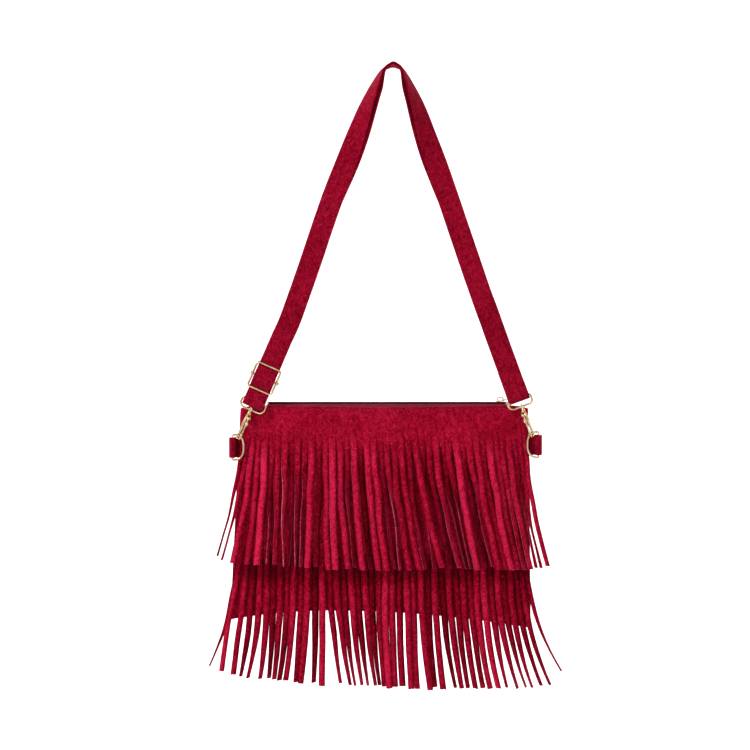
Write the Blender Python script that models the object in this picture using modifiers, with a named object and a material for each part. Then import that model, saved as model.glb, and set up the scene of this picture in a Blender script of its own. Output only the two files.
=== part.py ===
"""A small fringed suede shoulder bag, hanging by its strap.

Metres, +Z up, front towards -Y, +X to the viewer's right.
The origin is the underside of the strap where it lies over what carries it.
"""
from math import cos, pi, radians, sin

import bmesh
import bpy
from mathutils import Matrix, Vector

MM = 0.001
GAP = 0.3 * MM            # clear space between pieces that touch
PIN_FIT = 0.1 * MM        # running gap of a pin or stem in its hole
WELD = 0.004              # corners closer than this after a Boolean become one, in millimetres

# Bag body
BAG_X = -8.5 * MM         # the bag's middle, across
TOP_Z = -316.0 * MM       # top edge beside the zip
TOP_SAG = 2.6 * MM        # how far the top edge dips in the middle
CORNER_DROP = 4.0 * MM    # how far the top corners are rounded down
BODY_HEIGHT = 193.0 * MM  # top edge to the crown of the bottom edge
HALF_TOP = 134.0 * MM     # half width at the top
HALF_BOTTOM = 140.5 * MM  # half width at the bottom
LEAN = -3.5 * MM          # the bottom's middle lies this far to the side of the top's
BOTTOM_CROWN = -47.0 * MM  # where the bottom edge is highest, from the bag's middle
BOTTOM_DROP_LEFT = 8.5 * MM
BOTTOM_DROP_RIGHT = 16.5 * MM
SUEDE = 1.2 * MM          # one layer of suede
SEAM_HALF = 0.15 * MM     # half the space between the panels along the seam
MOUTH_HALF = 4.8 * MM     # inner half depth at the open top
BELLY_HALF = 10.5 * MM    # inner half depth where the bag is fullest
BELLY_AT = 0.55           # share of the height at which it is fullest
LINING = 0.6 * MM

# Fringes: a plain band with strips cut below it
STRIPS = 44
STRIP_CUT = 0.5 * MM      # slit between two strips where it starts
STRIP_STEPS = 6
UPPER_BAND = 27.0 * MM
UPPER_LENGTH = 148.5 * MM
LOWER_DROP = 112.0 * MM   # the lower piece starts this far below the top edge
LOWER_BAND = 14.0 * MM
LOWER_LENGTH = 150.0 * MM
BAND_SHARE = 0.985        # share of the bag's width that the bands cover
OVER_LOWER = 5.2 * MM     # how far the upper strips' ends stand out over the lower piece
STRIP_LIFT = 1.6 * MM     # how far a free strip stands off what is behind it
LAYER_STEP = 3.0 * MM     # how far every second strip hangs in front of its neighbours

# Zip
ZIP_Z = -315.4 * MM       # underside of the coils
ZIP_LEFT = -118.0 * MM
ZIP_RIGHT = 106.0 * MM
COIL_WIDE = 2.0 * MM
COIL_TALL = 1.7 * MM
COIL_SPACE = 1.2 * MM     # between the two coils, where the slider's post runs
TAPE_THICK = 0.7 * MM
SLIDER_LONG = 8.6 * MM
SLIDER_WIDE = 6.4 * MM
SLIDER_PLATE = 1.0 * MM
BRIDGE_WIRE = 0.55 * MM   # slider's bridge, half thickness
BRIDGE_HALF = 2.75 * MM
BRIDGE_TALL = 2.5 * MM
PULL_LONG = 15.0 * MM
PULL_WIDE = 4.2 * MM
PULL_THICK = 1.0 * MM
PULL_BAR = 1.0 * MM       # the pull's bar under the bridge
PULL_EYE = 3.0 * MM       # opening beside that bar, long enough to swing clear of the bridge
PULL_EYE_WIDE = 2.2 * MM

# Strap
STRAP_WIDE = 20.3 * MM
STRAP_THICK = 2.4 * MM
STRAP_THICK_TOP = 3.4 * MM  # the two layers stand apart where the strap is bent
TWIST_LENGTH = 135.0 * MM   # distance over which the strap turns to face the front
STRAP_LOOP = 2.0 * MM       # inside radius of the strap's fold round an eye's bar
REST_FLAT = 3.0 * MM        # flat underside at the top, on what carries the bag
REST_Z = STRAP_THICK_TOP / 2

# Metal parts
HARDWARE_Y = -11.8 * MM
WIRE = 1.0 * MM           # half thickness of the ring, eye and slider wire
EYE_HALF = 11.7 * MM      # eye, centre line, half width
EYE_RISE = 10.5 * MM      # eye's bar above the swivel
EYE_FOOT = 2.0 * MM       # eye's lower wire above the swivel
EYE_BAR_CORNER = 1.5 * MM
EYE_FOOT_CORNER = 4.5 * MM
BOSS_RADIUS = 2.0 * MM
BOSS_RISE = 1.4 * MM      # boss above the eye's lower wire
STEM_RADIUS = 0.8 * MM
STEM_HEAD = 0.7 * MM      # how far the stem's head stands out all round
HOOK_LONG = 29.0 * MM     # swivel to the outside of the hook's bend
HOOK_HALF = 3.8 * MM      # hook's half width, centre line
HOOK_WIRE = 1.25 * MM
HOOK_TURN = radians(66)   # the hook's plane against the front view
NOSE_LONG = 2.4 * MM      # hook's nose above its bend
GATE_PIN_DOWN = 6.2 * MM
GATE_PIN_ACROSS = 2.9 * MM
GATE_HALF_THICK = 0.8 * MM
EAR_THICK = 0.7 * MM
EAR_RADIUS = 1.4 * MM
GATE_EYE_RADIUS = 1.3 * MM
GATE_WIRE = 0.75 * MM
THUMB_SIZE = (1.1 * MM, 2.9 * MM, 4.2 * MM)
GATE_PIN_RADIUS = 0.5 * MM
RING_HALF = 11.9 * MM     # D ring, centre line, half height
RING_DEEP = 10.2 * MM     # D ring, bar to the far side of the bow
RING_POWER = 2.6          # squareness of the bow
RING_HOLD = 6.4 * MM      # where the hook holds the bow, from the bar
HOLD_GAP = 0.8 * MM       # clear space under the ring's wire in the hook, so that both can turn
TAB_HALF = 9.5 * MM
TAB_THICK = 1.3 * MM
TAB_LOW = 0.4 * MM        # the tab sits this far below the ring's middle
FRAME_HALF_WIDE = 11.9 * MM  # adjuster, centre line
FRAME_HALF_TALL = 12.0 * MM
ADJUSTER_UP = 23.5 * MM   # adjuster's middle above the left eye's bar
BAR_RADIUS = 1.0 * MM
BAR_KNOB = 1.7 * MM
FRAME_FRONT = 3.0 * MM    # adjuster's frame in front of the eyes' bars
BAR_FRONT = 0.5 * MM      # and its bar

# How far each side's swivel lies inside the bag's end and below its top edge
INSET_LEFT, BELOW_LEFT = 9.0 * MM, 7.0 * MM
INSET_RIGHT, BELOW_RIGHT = 5.6 * MM, 4.0 * MM
# Each side's swivel, and the slant of its clasp and strap end
SIDES = {
    "left": {"swivel": (BAG_X - HALF_TOP + INSET_LEFT, TOP_Z - BELOW_LEFT), "sign": -1, "slant": radians(23.5)},
    "right": {"swivel": (BAG_X + HALF_TOP - INSET_RIGHT, TOP_Z - BELOW_RIGHT), "sign": 1, "slant": radians(20.0)},
}
# The strap's middle line from its top down each side, to where its straight end begins
LEG_LEFT = ((-7.4, -1.4), (-12.9, -9.8), (-23.1, -33.0), (-36.5, -70.2), (-57.7, -126.0), (-76.0, -180.0))
LEG_RIGHT = ((6.9, -1.4), (11.6, -9.8), (20.9, -33.0), (32.8, -70.2), (44.2, -103.2), (75.3, -195.8))
STRAIGHT_LEFT = 62.0 * MM
STRAIGHT_RIGHT = 48.0 * MM

# How far the strips' tips lie to the side of their roots, across the bag
UPPER_SWAY = ((-1.0, -7.5), (-0.9, -4.0), (-0.7, -5.5), (-0.45, -2.0), (-0.2, 0.5), (0.02, 3.5),
              (0.2, 19.0), (0.45, 21.0), (0.7, 19.0), (0.9, 14.0), (1.0, 16.0))
LOWER_SWAY = ((-1.0, -10.0), (-0.9, -3.0), (-0.75, 3.0), (-0.5, 6.0), (-0.3, 8.0), (-0.1, 9.0),
              (0.15, 9.5), (0.4, 9.0), (0.7, 10.0), (0.85, 15.0), (1.0, 24.0))


def clear_scene():
    for obj in list(bpy.data.objects):
        bpy.data.objects.remove(obj, do_unlink=True)


def new_collection(name, hidden=False):
    coll = bpy.data.collections.new(name)
    bpy.context.scene.collection.children.link(coll)
    coll.hide_render = hidden
    return coll


def new_material(name, colour, roughness, metallic=0.0):
    mat = bpy.data.materials.new(name)
    mat.use_nodes = True
    shader = mat.node_tree.nodes["Principled BSDF"]
    shader.inputs["Base Color"].default_value = (*colour, 1.0)
    shader.inputs["Roughness"].default_value = roughness
    shader.inputs["Metallic"].default_value = metallic
    mat.diffuse_color = (*colour, 1.0)
    return mat


X = Vector((1, 0, 0))
Y = Vector((0, 1, 0))
Z = Vector((0, 0, 1))

clear_scene()
PARTS = new_collection("fringed_suede_bag")
CUTTERS = new_collection("cutters", hidden=True)
SUEDE_RED = new_material("suede_red", (0.35, 0.006, 0.03), 0.95)
SUEDE_DARK = new_material("suede_dark", (0.22, 0.004, 0.016), 0.95)
LINING_CLOTH = new_material("lining_cloth", (0.03, 0.004, 0.008), 0.8)
ZIP_CLOTH = new_material("zip_cloth", (0.05, 0.004, 0.01), 0.85)
PALE_GOLD = new_material("pale_gold", (0.83, 0.62, 0.35), 0.22, 1.0)


def add_object(name, mesh, mat, coll=PARTS):
    obj = bpy.data.objects.new(name, mesh)
    coll.objects.link(obj)
    mesh.materials.clear()
    mesh.materials.append(mat)
    return obj


def from_bmesh(name, bm, mat, coll=PARTS):
    bmesh.ops.recalc_face_normals(bm, faces=bm.faces)
    mesh = bpy.data.meshes.new(name)
    bm.to_mesh(mesh)
    bm.free()
    return add_object(name, mesh, mat, coll)


def share(value, low, high):
    """Where value lies between low and high, from 0 to 1."""
    return min(1.0, max(0.0, (value - low) / (high - low)))


def ease(t):
    return t * t * (3 - 2 * t)


def along(pairs, x):
    """Value at x on a smooth line through the pairs."""
    for (x0, y0), (x1, y1) in zip(pairs, pairs[1:]):
        if x <= x1:
            return y0 + (y1 - y0) * ease(share(x, x0, x1))
    return pairs[-1][1]


def chance(index, salt):
    """A fixed number from -1 to 1 for each strip and salt."""
    value = sin(index * 12.9898 + salt * 78.233) * 43758.5453
    return 2 * (value - int(value)) - (1 if value > 0 else -1)


def spline(points, steps):
    """Points on a smooth curve that runs through all the given ones."""
    pts = [points[0] * 2 - points[1], *points, points[-1] * 2 - points[-2]]
    out = []
    for p0, p1, p2, p3 in zip(pts, pts[1:], pts[2:], pts[3:]):
        for k in range(steps):
            t = k / steps
            out.append(0.5 * (2 * p1 + (p2 - p0) * t + (2 * p0 - 5 * p1 + 4 * p2 - p3) * t * t
                              + (3 * p1 - p0 - 3 * p2 + p3) * t ** 3))
    out.append(points[-1])
    return out


# The bag's shape

def bag_half(v):
    """Half width at the share v of the height, 0 at the top."""
    return HALF_TOP + (HALF_BOTTOM - HALF_TOP) * v


def bag_middle(v):
    return BAG_X + LEAN * v


def top_edge(u):
    return TOP_Z - TOP_SAG * (1 - u * u) - CORNER_DROP * abs(u) ** 14


def bottom_edge(u):
    x = u * HALF_BOTTOM
    if x < BOTTOM_CROWN:
        drop = BOTTOM_DROP_LEFT * ((BOTTOM_CROWN - x) / (HALF_BOTTOM + BOTTOM_CROWN)) ** 2
    else:
        drop = BOTTOM_DROP_RIGHT * ((x - BOTTOM_CROWN) / (HALF_BOTTOM - BOTTOM_CROWN)) ** 2
    return TOP_Z - BODY_HEIGHT - drop


def belly(v):
    """Inner half depth in the middle of the bag, at the share v of the height."""
    if v < BELLY_AT:
        return MOUTH_HALF + (BELLY_HALF - MOUTH_HALF) * sin(pi / 2 * v / BELLY_AT)
    return BELLY_HALF * max(0.0, 1 - ((v - BELLY_AT) / (1 - BELLY_AT)) ** 2.2)


def tab_z(side):
    return ring_middle(side).z - TAB_LOW


def tab_room(u, z):
    """Extra space between the panels where a tab is sewn into the seam."""
    offset = abs(z - tab_z("left" if u < 0 else "right")) - TAB_HALF
    beside = ease(share(-offset, -40 * MM, -20 * MM))
    return (TAB_THICK + GAP) * beside * ease(share(abs(u), 0.7, 0.9))


def inner_depth(u, v):
    """Distance from the middle plane to the inside of a panel."""
    z = top_edge(u) + (bottom_edge(u) - top_edge(u)) * v
    square = 6.0 - 2.6 * ease(share(v, 0.0, BELLY_AT))
    full = belly(v) * max(0.0, 1 - abs(u) ** square) ** 0.8
    return SEAM_HALF + full + tab_room(u, z)


def body_point(u, v, depth):
    z = top_edge(u) + (bottom_edge(u) - top_edge(u)) * v
    return Vector((bag_middle(v) + u * bag_half(v), depth, z))


def clasp_frame(side):
    """Origin at the swivel; inboard, front and down axes of a clasp."""
    x, z = SIDES[side]["swivel"]
    sign = SIDES[side]["sign"]
    slant = SIDES[side]["slant"]
    down = Vector((sign * sin(slant), 0, -cos(slant)))
    inboard = Vector((-sign * cos(slant), 0, -sin(slant)))
    return Vector((x, HARDWARE_Y, z)), inboard, Vector((0, -1, 0)), down


def eye_bar(side):
    origin, _, _, down = clasp_frame(side)
    return origin - down * EYE_RISE


def hold_point(side):
    """Middle of the ring's wire where the hook carries it."""
    origin, _, _, down = clasp_frame(side)
    return origin + down * (HOOK_LONG - 2 * HOOK_WIRE - HOLD_GAP - WIRE)


def bow(distance):
    """Half height of the ring's bow at a distance from its bar."""
    return RING_HALF * (1 - (distance / RING_DEEP) ** RING_POWER) ** (1 / RING_POWER)


def ring_middle(side):
    hold = hold_point(side)
    return hold + Vector((SIDES[side]["sign"] * RING_HOLD, 0, -bow(RING_HOLD)))


# Makers of plain shapes

def loft(name, rings, mat):
    """A closed solid over rings of points, all with the same number of points."""
    bm = bmesh.new()
    rows = [[bm.verts.new(p) for p in ring] for ring in rings]
    count = len(rows[0])
    for a, b in zip(rows, rows[1:]):
        for k in range(count):
            n = (k + 1) % count
            bm.faces.new((a[k], a[n], b[n], b[k]))
    bm.faces.new(rows[0])
    bm.faces.new(list(reversed(rows[-1])))
    bmesh.ops.triangulate(bm, faces=[f for f in bm.faces if len(f.verts) > 4])
    return from_bmesh(name, bm, mat)


def sheet(name, grid, mat, thickness, inward):
    """A solid sheet over a grid of points; inward says to which side it thickens."""
    bm = bmesh.new()
    rows = [[bm.verts.new(p) for p in row] for row in grid]
    for a, b in zip(rows, rows[1:]):
        for k in range(len(a) - 1):
            bm.faces.new((a[k], a[k + 1], b[k + 1], b[k]))
    mesh = bpy.data.meshes.new(name)
    bm.to_mesh(mesh)
    bm.free()
    obj = add_object(name, mesh, mat)
    solid = obj.modifiers.new("thickness", "SOLIDIFY")
    solid.thickness = thickness
    solid.offset = inward
    solid.use_even_offset = True
    return obj


def wire(name, points, radius, mat, closed=False, radii=None):
    """A round wire along the points, as a mesh with welded ends."""
    curve = bpy.data.curves.new(name, "CURVE")
    curve.dimensions = "3D"
    curve.bevel_depth = radius
    curve.bevel_resolution = 2
    curve.use_fill_caps = not closed
    line = curve.splines.new("POLY")
    line.points.add(len(points) - 1)
    for k, p in enumerate(points):
        line.points[k].co = (*p, 1.0)
        if radii:
            line.points[k].radius = radii[k] / radius
    line.use_cyclic_u = closed
    obj = bpy.data.objects.new(name, curve)
    PARTS.objects.link(obj)
    mesh = plain_mesh(obj)
    bpy.data.objects.remove(obj, do_unlink=True)
    bm = bmesh.new()
    bm.from_mesh(mesh)
    bpy.data.meshes.remove(mesh)
    bmesh.ops.remove_doubles(bm, verts=bm.verts, dist=WELD * MM)
    return from_bmesh(name, bm, mat)


def cylinder(name, start, end, radius, mat, coll=PARTS):
    axis = end - start
    bm = bmesh.new()
    bmesh.ops.create_cone(bm, cap_ends=True, segments=16, radius1=radius, radius2=radius, depth=axis.length)
    turn = axis.to_track_quat("Z", "Y").to_matrix().to_4x4()
    bmesh.ops.transform(bm, matrix=Matrix.Translation((start + end) / 2) @ turn, verts=bm.verts)
    return from_bmesh(name, bm, mat, coll)


def turned(name, origin, axis, aside, profile, mat):
    """A round solid about an axis, from (distance along the axis, radius) pairs."""
    third = axis.cross(aside)
    turns = [2 * pi * k / 16 for k in range(16)]
    rings = []
    for along_axis, radius in profile:
        rings.append([origin + axis * along_axis + (aside * cos(a) + third * sin(a)) * radius for a in turns])
    return loft(name, rings, mat)


def hull(name, corners, mat):
    """The tightest solid without hollows round the corners."""
    bm = bmesh.new()
    for p in corners:
        bm.verts.new(p)
    result = bmesh.ops.convex_hull(bm, input=bm.verts)
    bmesh.ops.delete(bm, geom=result["geom_interior"], context="VERTS")
    return from_bmesh(name, bm, mat)


def box(name, centre, x_axis, y_axis, z_axis, size, mat, coll=PARTS):
    bm = bmesh.new()
    bmesh.ops.create_cube(bm, size=1.0)
    turn = Matrix((x_axis * size[0], y_axis * size[1], z_axis * size[2])).transposed().to_4x4()
    bmesh.ops.transform(bm, matrix=Matrix.Translation(centre) @ turn, verts=bm.verts)
    return from_bmesh(name, bm, mat, coll)


def plain_mesh(obj):
    """The object's mesh with its modifiers applied."""
    bpy.context.view_layer.update()
    return bpy.data.meshes.new_from_object(obj.evaluated_get(bpy.context.evaluated_depsgraph_get()))


def combine(obj, other, operation):
    """Join or cut with a Boolean worked out in millimetres, then drop the other object."""
    for each in (obj, other):
        mesh = plain_mesh(each)
        mesh.transform(Matrix.Scale(1 / MM, 4))
        each.modifiers.clear()
        each.data = mesh
    mod = obj.modifiers.new(operation.lower(), "BOOLEAN")
    mod.operation = operation
    mod.solver = "EXACT"
    mod.object = other
    mesh = plain_mesh(obj)
    bm = bmesh.new()
    bm.from_mesh(mesh)
    bmesh.ops.remove_doubles(bm, verts=bm.verts, dist=WELD)
    bmesh.ops.dissolve_degenerate(bm, edges=bm.edges, dist=WELD)
    bm.to_mesh(mesh)
    bm.free()
    mesh.transform(Matrix.Scale(MM, 4))
    mat = obj.data.materials[0]
    obj.modifiers.clear()
    obj.data = mesh
    mesh.materials.clear()
    mesh.materials.append(mat)
    bpy.data.objects.remove(other, do_unlink=True)
    return obj


# The sewn body

def make_panels():
    columns = 22
    rows = 11
    for name, facing in (("front_panel", -1), ("back_panel", 1)):
        grid = []
        for j in range(rows + 1):
            v = j / rows
            us = [-cos(pi * i / columns) * 0.35 + (2 * i / columns - 1) * 0.65 for i in range(columns + 1)]
            grid.append([body_point(u, v, facing * inner_depth(u, v)) for u in us])
        sheet(name, grid, SUEDE_RED, SUEDE, facing)


def make_lining():
    """The inner pouch, a fold of cloth open at the top."""
    columns = 14
    rows = 6
    grid_front = []
    for j in range(rows + 1):
        v = 0.05 + 0.78 * j / rows
        grid_front.append([])
        for i in range(columns + 1):
            u = 0.86 * (2 * i / columns - 1)
            depth = inner_depth(u, v) - GAP - LINING
            grid_front[-1].append(body_point(u, v, -depth))
    bm = bmesh.new()
    rings = []
    for row in grid_front:
        back = [Vector((p.x, -p.y, p.z)) for p in row]
        rings.append([bm.verts.new(p) for p in row + list(reversed(back))])
    count = len(rings[0])
    for a, b in zip(rings, rings[1:]):
        for k in range(count):
            n = (k + 1) % count
            bm.faces.new((a[k], a[n], b[n], b[k]))
    last = rings[-1]
    for k in range(columns):
        bm.faces.new((last[k], last[k + 1], last[count - 2 - k], last[count - 1 - k]))
    obj = from_bmesh("lining", bm, LINING_CLOTH)
    solid = obj.modifiers.new("thickness", "SOLIDIFY")
    solid.thickness = LINING
    solid.offset = -1
    solid.use_even_offset = True


def fringe_surface(u, v):
    """Outside of the front panel, hanging straight down below the fullest part."""
    return inner_depth(u, v if v < BELLY_AT else BELLY_AT) + SUEDE


def strip_shape(row, index, t):
    """Side shift, forward step, turn and width factor of a strip at the share t of its length."""
    salt = 3 if row == "upper" else 11
    u = 2 * (index + 0.5) / STRIPS - 1
    sway = along(UPPER_SWAY if row == "upper" else LOWER_SWAY, u) + 1.0 * chance(index, salt)
    bend = 1.7 + 0.25 * chance(index, salt + 1)
    side = sway * MM * t ** bend + 0.5 * MM * chance(index, salt + 2) * sin(pi * t)
    lift = STRIP_LIFT * ease(share(t, 0.0, 0.3))
    if row == "upper":
        lift += OVER_LOWER * ease(share(t, 0.3, 0.8))
    layer = lift + LAYER_STEP * (index % 2) * ease(share(t, 0.0, 0.2))
    turned = chance(index, salt + 3)
    most = radians(72) if abs(turned) > 0.6 else radians(13)
    twist = most * turned * ease(share(t, 0.2, 0.9))
    return side, layer, twist


def make_fringe(name, row, drop, band, length, base):
    """One sheet of suede, cut into strips below its band."""
    bm = bmesh.new()
    half_cut = STRIP_CUT / 2

    def skin(u, z_drop, extra):
        z = top_edge(u) - drop - z_drop
        v = share(-z, -top_edge(u), -bottom_edge(u))
        middle = bag_middle(v)
        width = bag_half(v)
        return Vector((middle + u * width, -(fringe_surface(u, v) + GAP + base + extra), z))

    def edges(index):
        u0 = 2 * index / STRIPS - 1
        u1 = 2 * (index + 1) / STRIPS - 1
        slit = half_cut / HALF_TOP
        return u0 + (slit if index else 0), u1 - (slit if index < STRIPS - 1 else 0)

    band_rows = 2
    top_rows = []
    for j in range(band_rows + 1):
        row_verts = []
        for i in range(STRIPS):
            for u in edges(i):
                row_verts.append(bm.verts.new(skin(u * BAND_SHARE, band * j / band_rows, 0.0)))
        top_rows.append(row_verts)
    for a, b in zip(top_rows, top_rows[1:]):
        for k in range(len(a) - 1):
            bm.faces.new((a[k], b[k], b[k + 1], a[k + 1]))
    for i in range(STRIPS):
        u0, u1 = (e * BAND_SHARE for e in edges(i))
        left, right = top_rows[-1][2 * i], top_rows[-1][2 * i + 1]
        for j in range(1, STRIP_STEPS + 1):
            t = j / STRIP_STEPS
            side, layer, twist = strip_shape(row, i, t)
            uneven = 1 + 0.012 * chance(i, 7) * t
            z_drop = band + (length - band) * t * uneven
            a = skin(u0, z_drop, layer)
            b = skin(u1, z_drop, layer)
            middle = (a + b) / 2 + Vector((side, 0, 0))
            half = (b - a).length / 2 * (1 - 0.12 * t)
            across = Vector((cos(twist), sin(twist), 0)) * half
            new_left = bm.verts.new(middle - across)
            new_right = bm.verts.new(middle + across)
            bm.faces.new((left, new_left, new_right, right))
            left, right = new_left, new_right
    mesh = bpy.data.meshes.new(name)
    bm.to_mesh(mesh)
    bm.free()
    obj = add_object(name, mesh, SUEDE_RED)
    solid = obj.modifiers.new("thickness", "SOLIDIFY")
    solid.thickness = SUEDE
    solid.offset = 0
    solid.use_even_offset = False


def make_fringes():
    make_fringe("lower_fringe", "lower", LOWER_DROP, LOWER_BAND, LOWER_LENGTH, SUEDE / 2)
    clear_of_lower = SUEDE / 2 + GAP
    make_fringe("upper_fringe", "upper", 0.0, UPPER_BAND, UPPER_LENGTH, clear_of_lower)


# The zip

def slit_half(x):
    """Inner half depth of the mouth at x."""
    u = (x - BAG_X) / HALF_TOP
    return inner_depth(u, 0.0)


def make_zip():
    top_of_tape = ZIP_Z - GAP
    columns = 28
    stop_room = SLIDER_PLATE + GAP
    for name, facing in (("front", -1), ("back", 1)):
        inner = facing * COIL_SPACE / 2
        grid = [[], [], []]
        for i in range(columns + 1):
            x = ZIP_LEFT + (ZIP_RIGHT - ZIP_LEFT) * i / columns
            outer = facing * (slit_half(x) - GAP)
            for k in range(3):
                y = inner + (outer - inner) * k / 2
                grid[k].append(Vector((x, y, top_of_tape)))
        sheet("zip_tape_" + name, grid, ZIP_CLOTH, TAPE_THICK, -1.0 if facing > 0 else 1.0)
        coil_y = inner + facing * COIL_WIDE / 2
        centre = Vector(((ZIP_LEFT + ZIP_RIGHT) / 2, coil_y, ZIP_Z + COIL_TALL / 2))
        size = (ZIP_RIGHT - ZIP_LEFT - 2 * stop_room, COIL_WIDE, COIL_TALL)
        coil = box("zip_coil_" + name, centre, X, Y, Z, size, ZIP_CLOTH)
        rounding = coil.modifiers.new("rounding", "BEVEL")
        rounding.width = COIL_TALL * 0.3
        rounding.segments = 2
    for name, x, facing in (("left", ZIP_LEFT, 1), ("right", ZIP_RIGHT, -1)):
        size = (SLIDER_PLATE, COIL_SPACE + 2 * COIL_WIDE, COIL_TALL)
        centre = Vector((x + facing * SLIDER_PLATE / 2, 0, ZIP_Z + COIL_TALL / 2))
        box("zip_stop_" + name, centre, X, Y, Z, size, PALE_GOLD)
    make_slider()


def slider_x():
    """Middle of the slider with the zip closed."""
    return ZIP_RIGHT - SLIDER_PLATE - 2 * GAP - SLIDER_LONG / 2


def make_slider():
    x = slider_x()
    low = ZIP_Z - 2 * GAP - TAPE_THICK
    high = ZIP_Z + COIL_TALL + GAP
    size = (SLIDER_LONG, SLIDER_WIDE, SLIDER_PLATE)
    slider = box("zip_slider", Vector((x, 0, high + SLIDER_PLATE / 2)), X, Y, Z, size, PALE_GOLD)
    under = box("under", Vector((x, 0, low - SLIDER_PLATE / 2)), X, Y, Z, size, PALE_GOLD)
    post_size = (SLIDER_LONG * 0.4, COIL_SPACE - 2 * GAP, high - low + SLIDER_PLATE)
    post = box("post", Vector((x - SLIDER_LONG * 0.2, 0, (high + low) / 2)), X, Y, Z, post_size, PALE_GOLD)
    combine(slider, under, "UNION")
    combine(slider, post, "UNION")
    plate_top = high + SLIDER_PLATE
    foot, bend, top = (plate_top + BRIDGE_TALL * part for part in (-0.2, 0.72, 1.0))
    arch = [(-1.0, foot), (-1.0, bend), (-0.8, top), (0.8, top), (1.0, bend), (1.0, foot)]
    points = [Vector((x + share_out * BRIDGE_HALF, 0, z)) for share_out, z in arch]
    combine(slider, wire("bridge", points, BRIDGE_WIRE, PALE_GOLD), "UNION")
    make_pull(pull_pivot())


def pull_pivot():
    """Middle of the pull's bar, under the bridge beside its right leg."""
    x = slider_x() + BRIDGE_HALF - BRIDGE_WIRE - GAP - PULL_BAR / 2
    plate_top = ZIP_Z + COIL_TALL + GAP + SLIDER_PLATE
    return Vector((x, 0, plate_top + (BRIDGE_TALL - BRIDGE_WIRE) / 2))


def make_pull(pivot):
    """A flat tag whose bar lies under the slider's bridge; the tag lies to the right."""
    half = PULL_WIDE / 2
    left = -PULL_BAR / 2
    outline = [Vector((left, half * 0.8, 0)), Vector((left, -half * 0.8, 0)), Vector((left + half * 0.2, -half, 0))]
    for k in range(9):
        a = -pi / 2 + pi * k / 8
        outline.append(Vector((PULL_LONG - half + half * 0.8 * cos(a), half * 0.8 * sin(a), 0)))
    outline.append(Vector((left + half * 0.2, half, 0)))
    rings = [[pivot + p + Z * way * PULL_THICK / 2 for p in outline] for way in (-1, 1)]
    pull = loft("zip_pull", rings, PALE_GOLD)
    middle = pivot + X * (PULL_BAR + PULL_EYE) / 2
    eye = box("eye", middle, X, Y, Z, (PULL_EYE, PULL_EYE_WIDE, PULL_THICK * 3), PALE_GOLD, CUTTERS)
    combine(pull, eye, "DIFFERENCE")


# Tabs and rings at the bag's sides

def make_tab(side):
    """A short strip folded round the ring's bar, its ends in the side seam."""
    sign = SIDES[side]["sign"]
    bar = ring_middle(side)
    root_x = bag_middle(0.2) + sign * (bag_half(0.2) - 7 * MM)
    half = TAB_THICK / 2
    turn = WIRE + GAP + half
    route = [Vector((root_x, half + GAP / 2, 0)), Vector((root_x + sign * 9 * MM, half + GAP / 2, 0)),
             Vector((bar.x + sign * (turn + 1.0 * MM), -2.8 * MM, 0)),
             Vector((bar.x + sign * turn, bar.y + 2.0 * MM, 0))]
    path = spline(route, 4)[:-1]
    for k in range(9):
        a = pi * k / 8
        path.append(Vector((bar.x + sign * turn * cos(a), bar.y - turn * sin(a), 0)))
    back = [Vector((bar.x - sign * turn, bar.y + 0.6 * MM, 0)),
            Vector((bar.x - sign * (turn - 0.4 * MM), -3.6 * MM, 0)),
            Vector((root_x + sign * 8.2 * MM, -half - GAP / 2 - 0.2 * MM, 0)),
            Vector((root_x, -half - GAP / 2, 0))]
    path += spline(back, 4)
    outer, inner = [], []
    for k, p in enumerate(path):
        ahead = path[min(k + 1, len(path) - 1)] - path[max(k - 1, 0)]
        normal = Vector((ahead.y, -ahead.x, 0)).normalized() * half
        outer.append(p + normal)
        inner.append(p - normal)
    rings = []
    low, high = tab_z(side) - TAB_HALF, tab_z(side) + TAB_HALF
    for a, b in zip(outer, inner):
        rings.append([Vector((a.x, a.y, low)), Vector((a.x, a.y, high)),
                      Vector((b.x, b.y, high)), Vector((b.x, b.y, low))])
    loft("tab_" + side, rings, SUEDE_RED)


def make_ring(side):
    sign = SIDES[side]["sign"]
    middle = ring_middle(side)
    points = []
    steps = 18
    for k in range(steps + 1):
        a = pi / 2 - pi * k / steps
        out = RING_DEEP * abs(cos(a)) ** (2 / RING_POWER)
        up = RING_HALF * abs(sin(a)) ** (2 / RING_POWER) * (1 if a > 0 else -1)
        points.append(middle + Vector((-sign * out, 0, up)))
    points.insert(0, middle + Vector((0.0, 0, RING_HALF - 0.9 * MM)) + Vector((sign * 0.2 * MM, 0, 0)))
    points.append(middle + Vector((sign * 0.2 * MM, 0, -RING_HALF + 0.9 * MM)))
    wire("d_ring_" + side, points, WIRE, PALE_GOLD, closed=True)


# Clasps

def hook_axes(side):
    origin, inboard, front, down = clasp_frame(side)
    across = inboard * cos(HOOK_TURN) + front * sin(HOOK_TURN)
    normal = across.cross(down)
    return origin, across, normal, down


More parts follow.
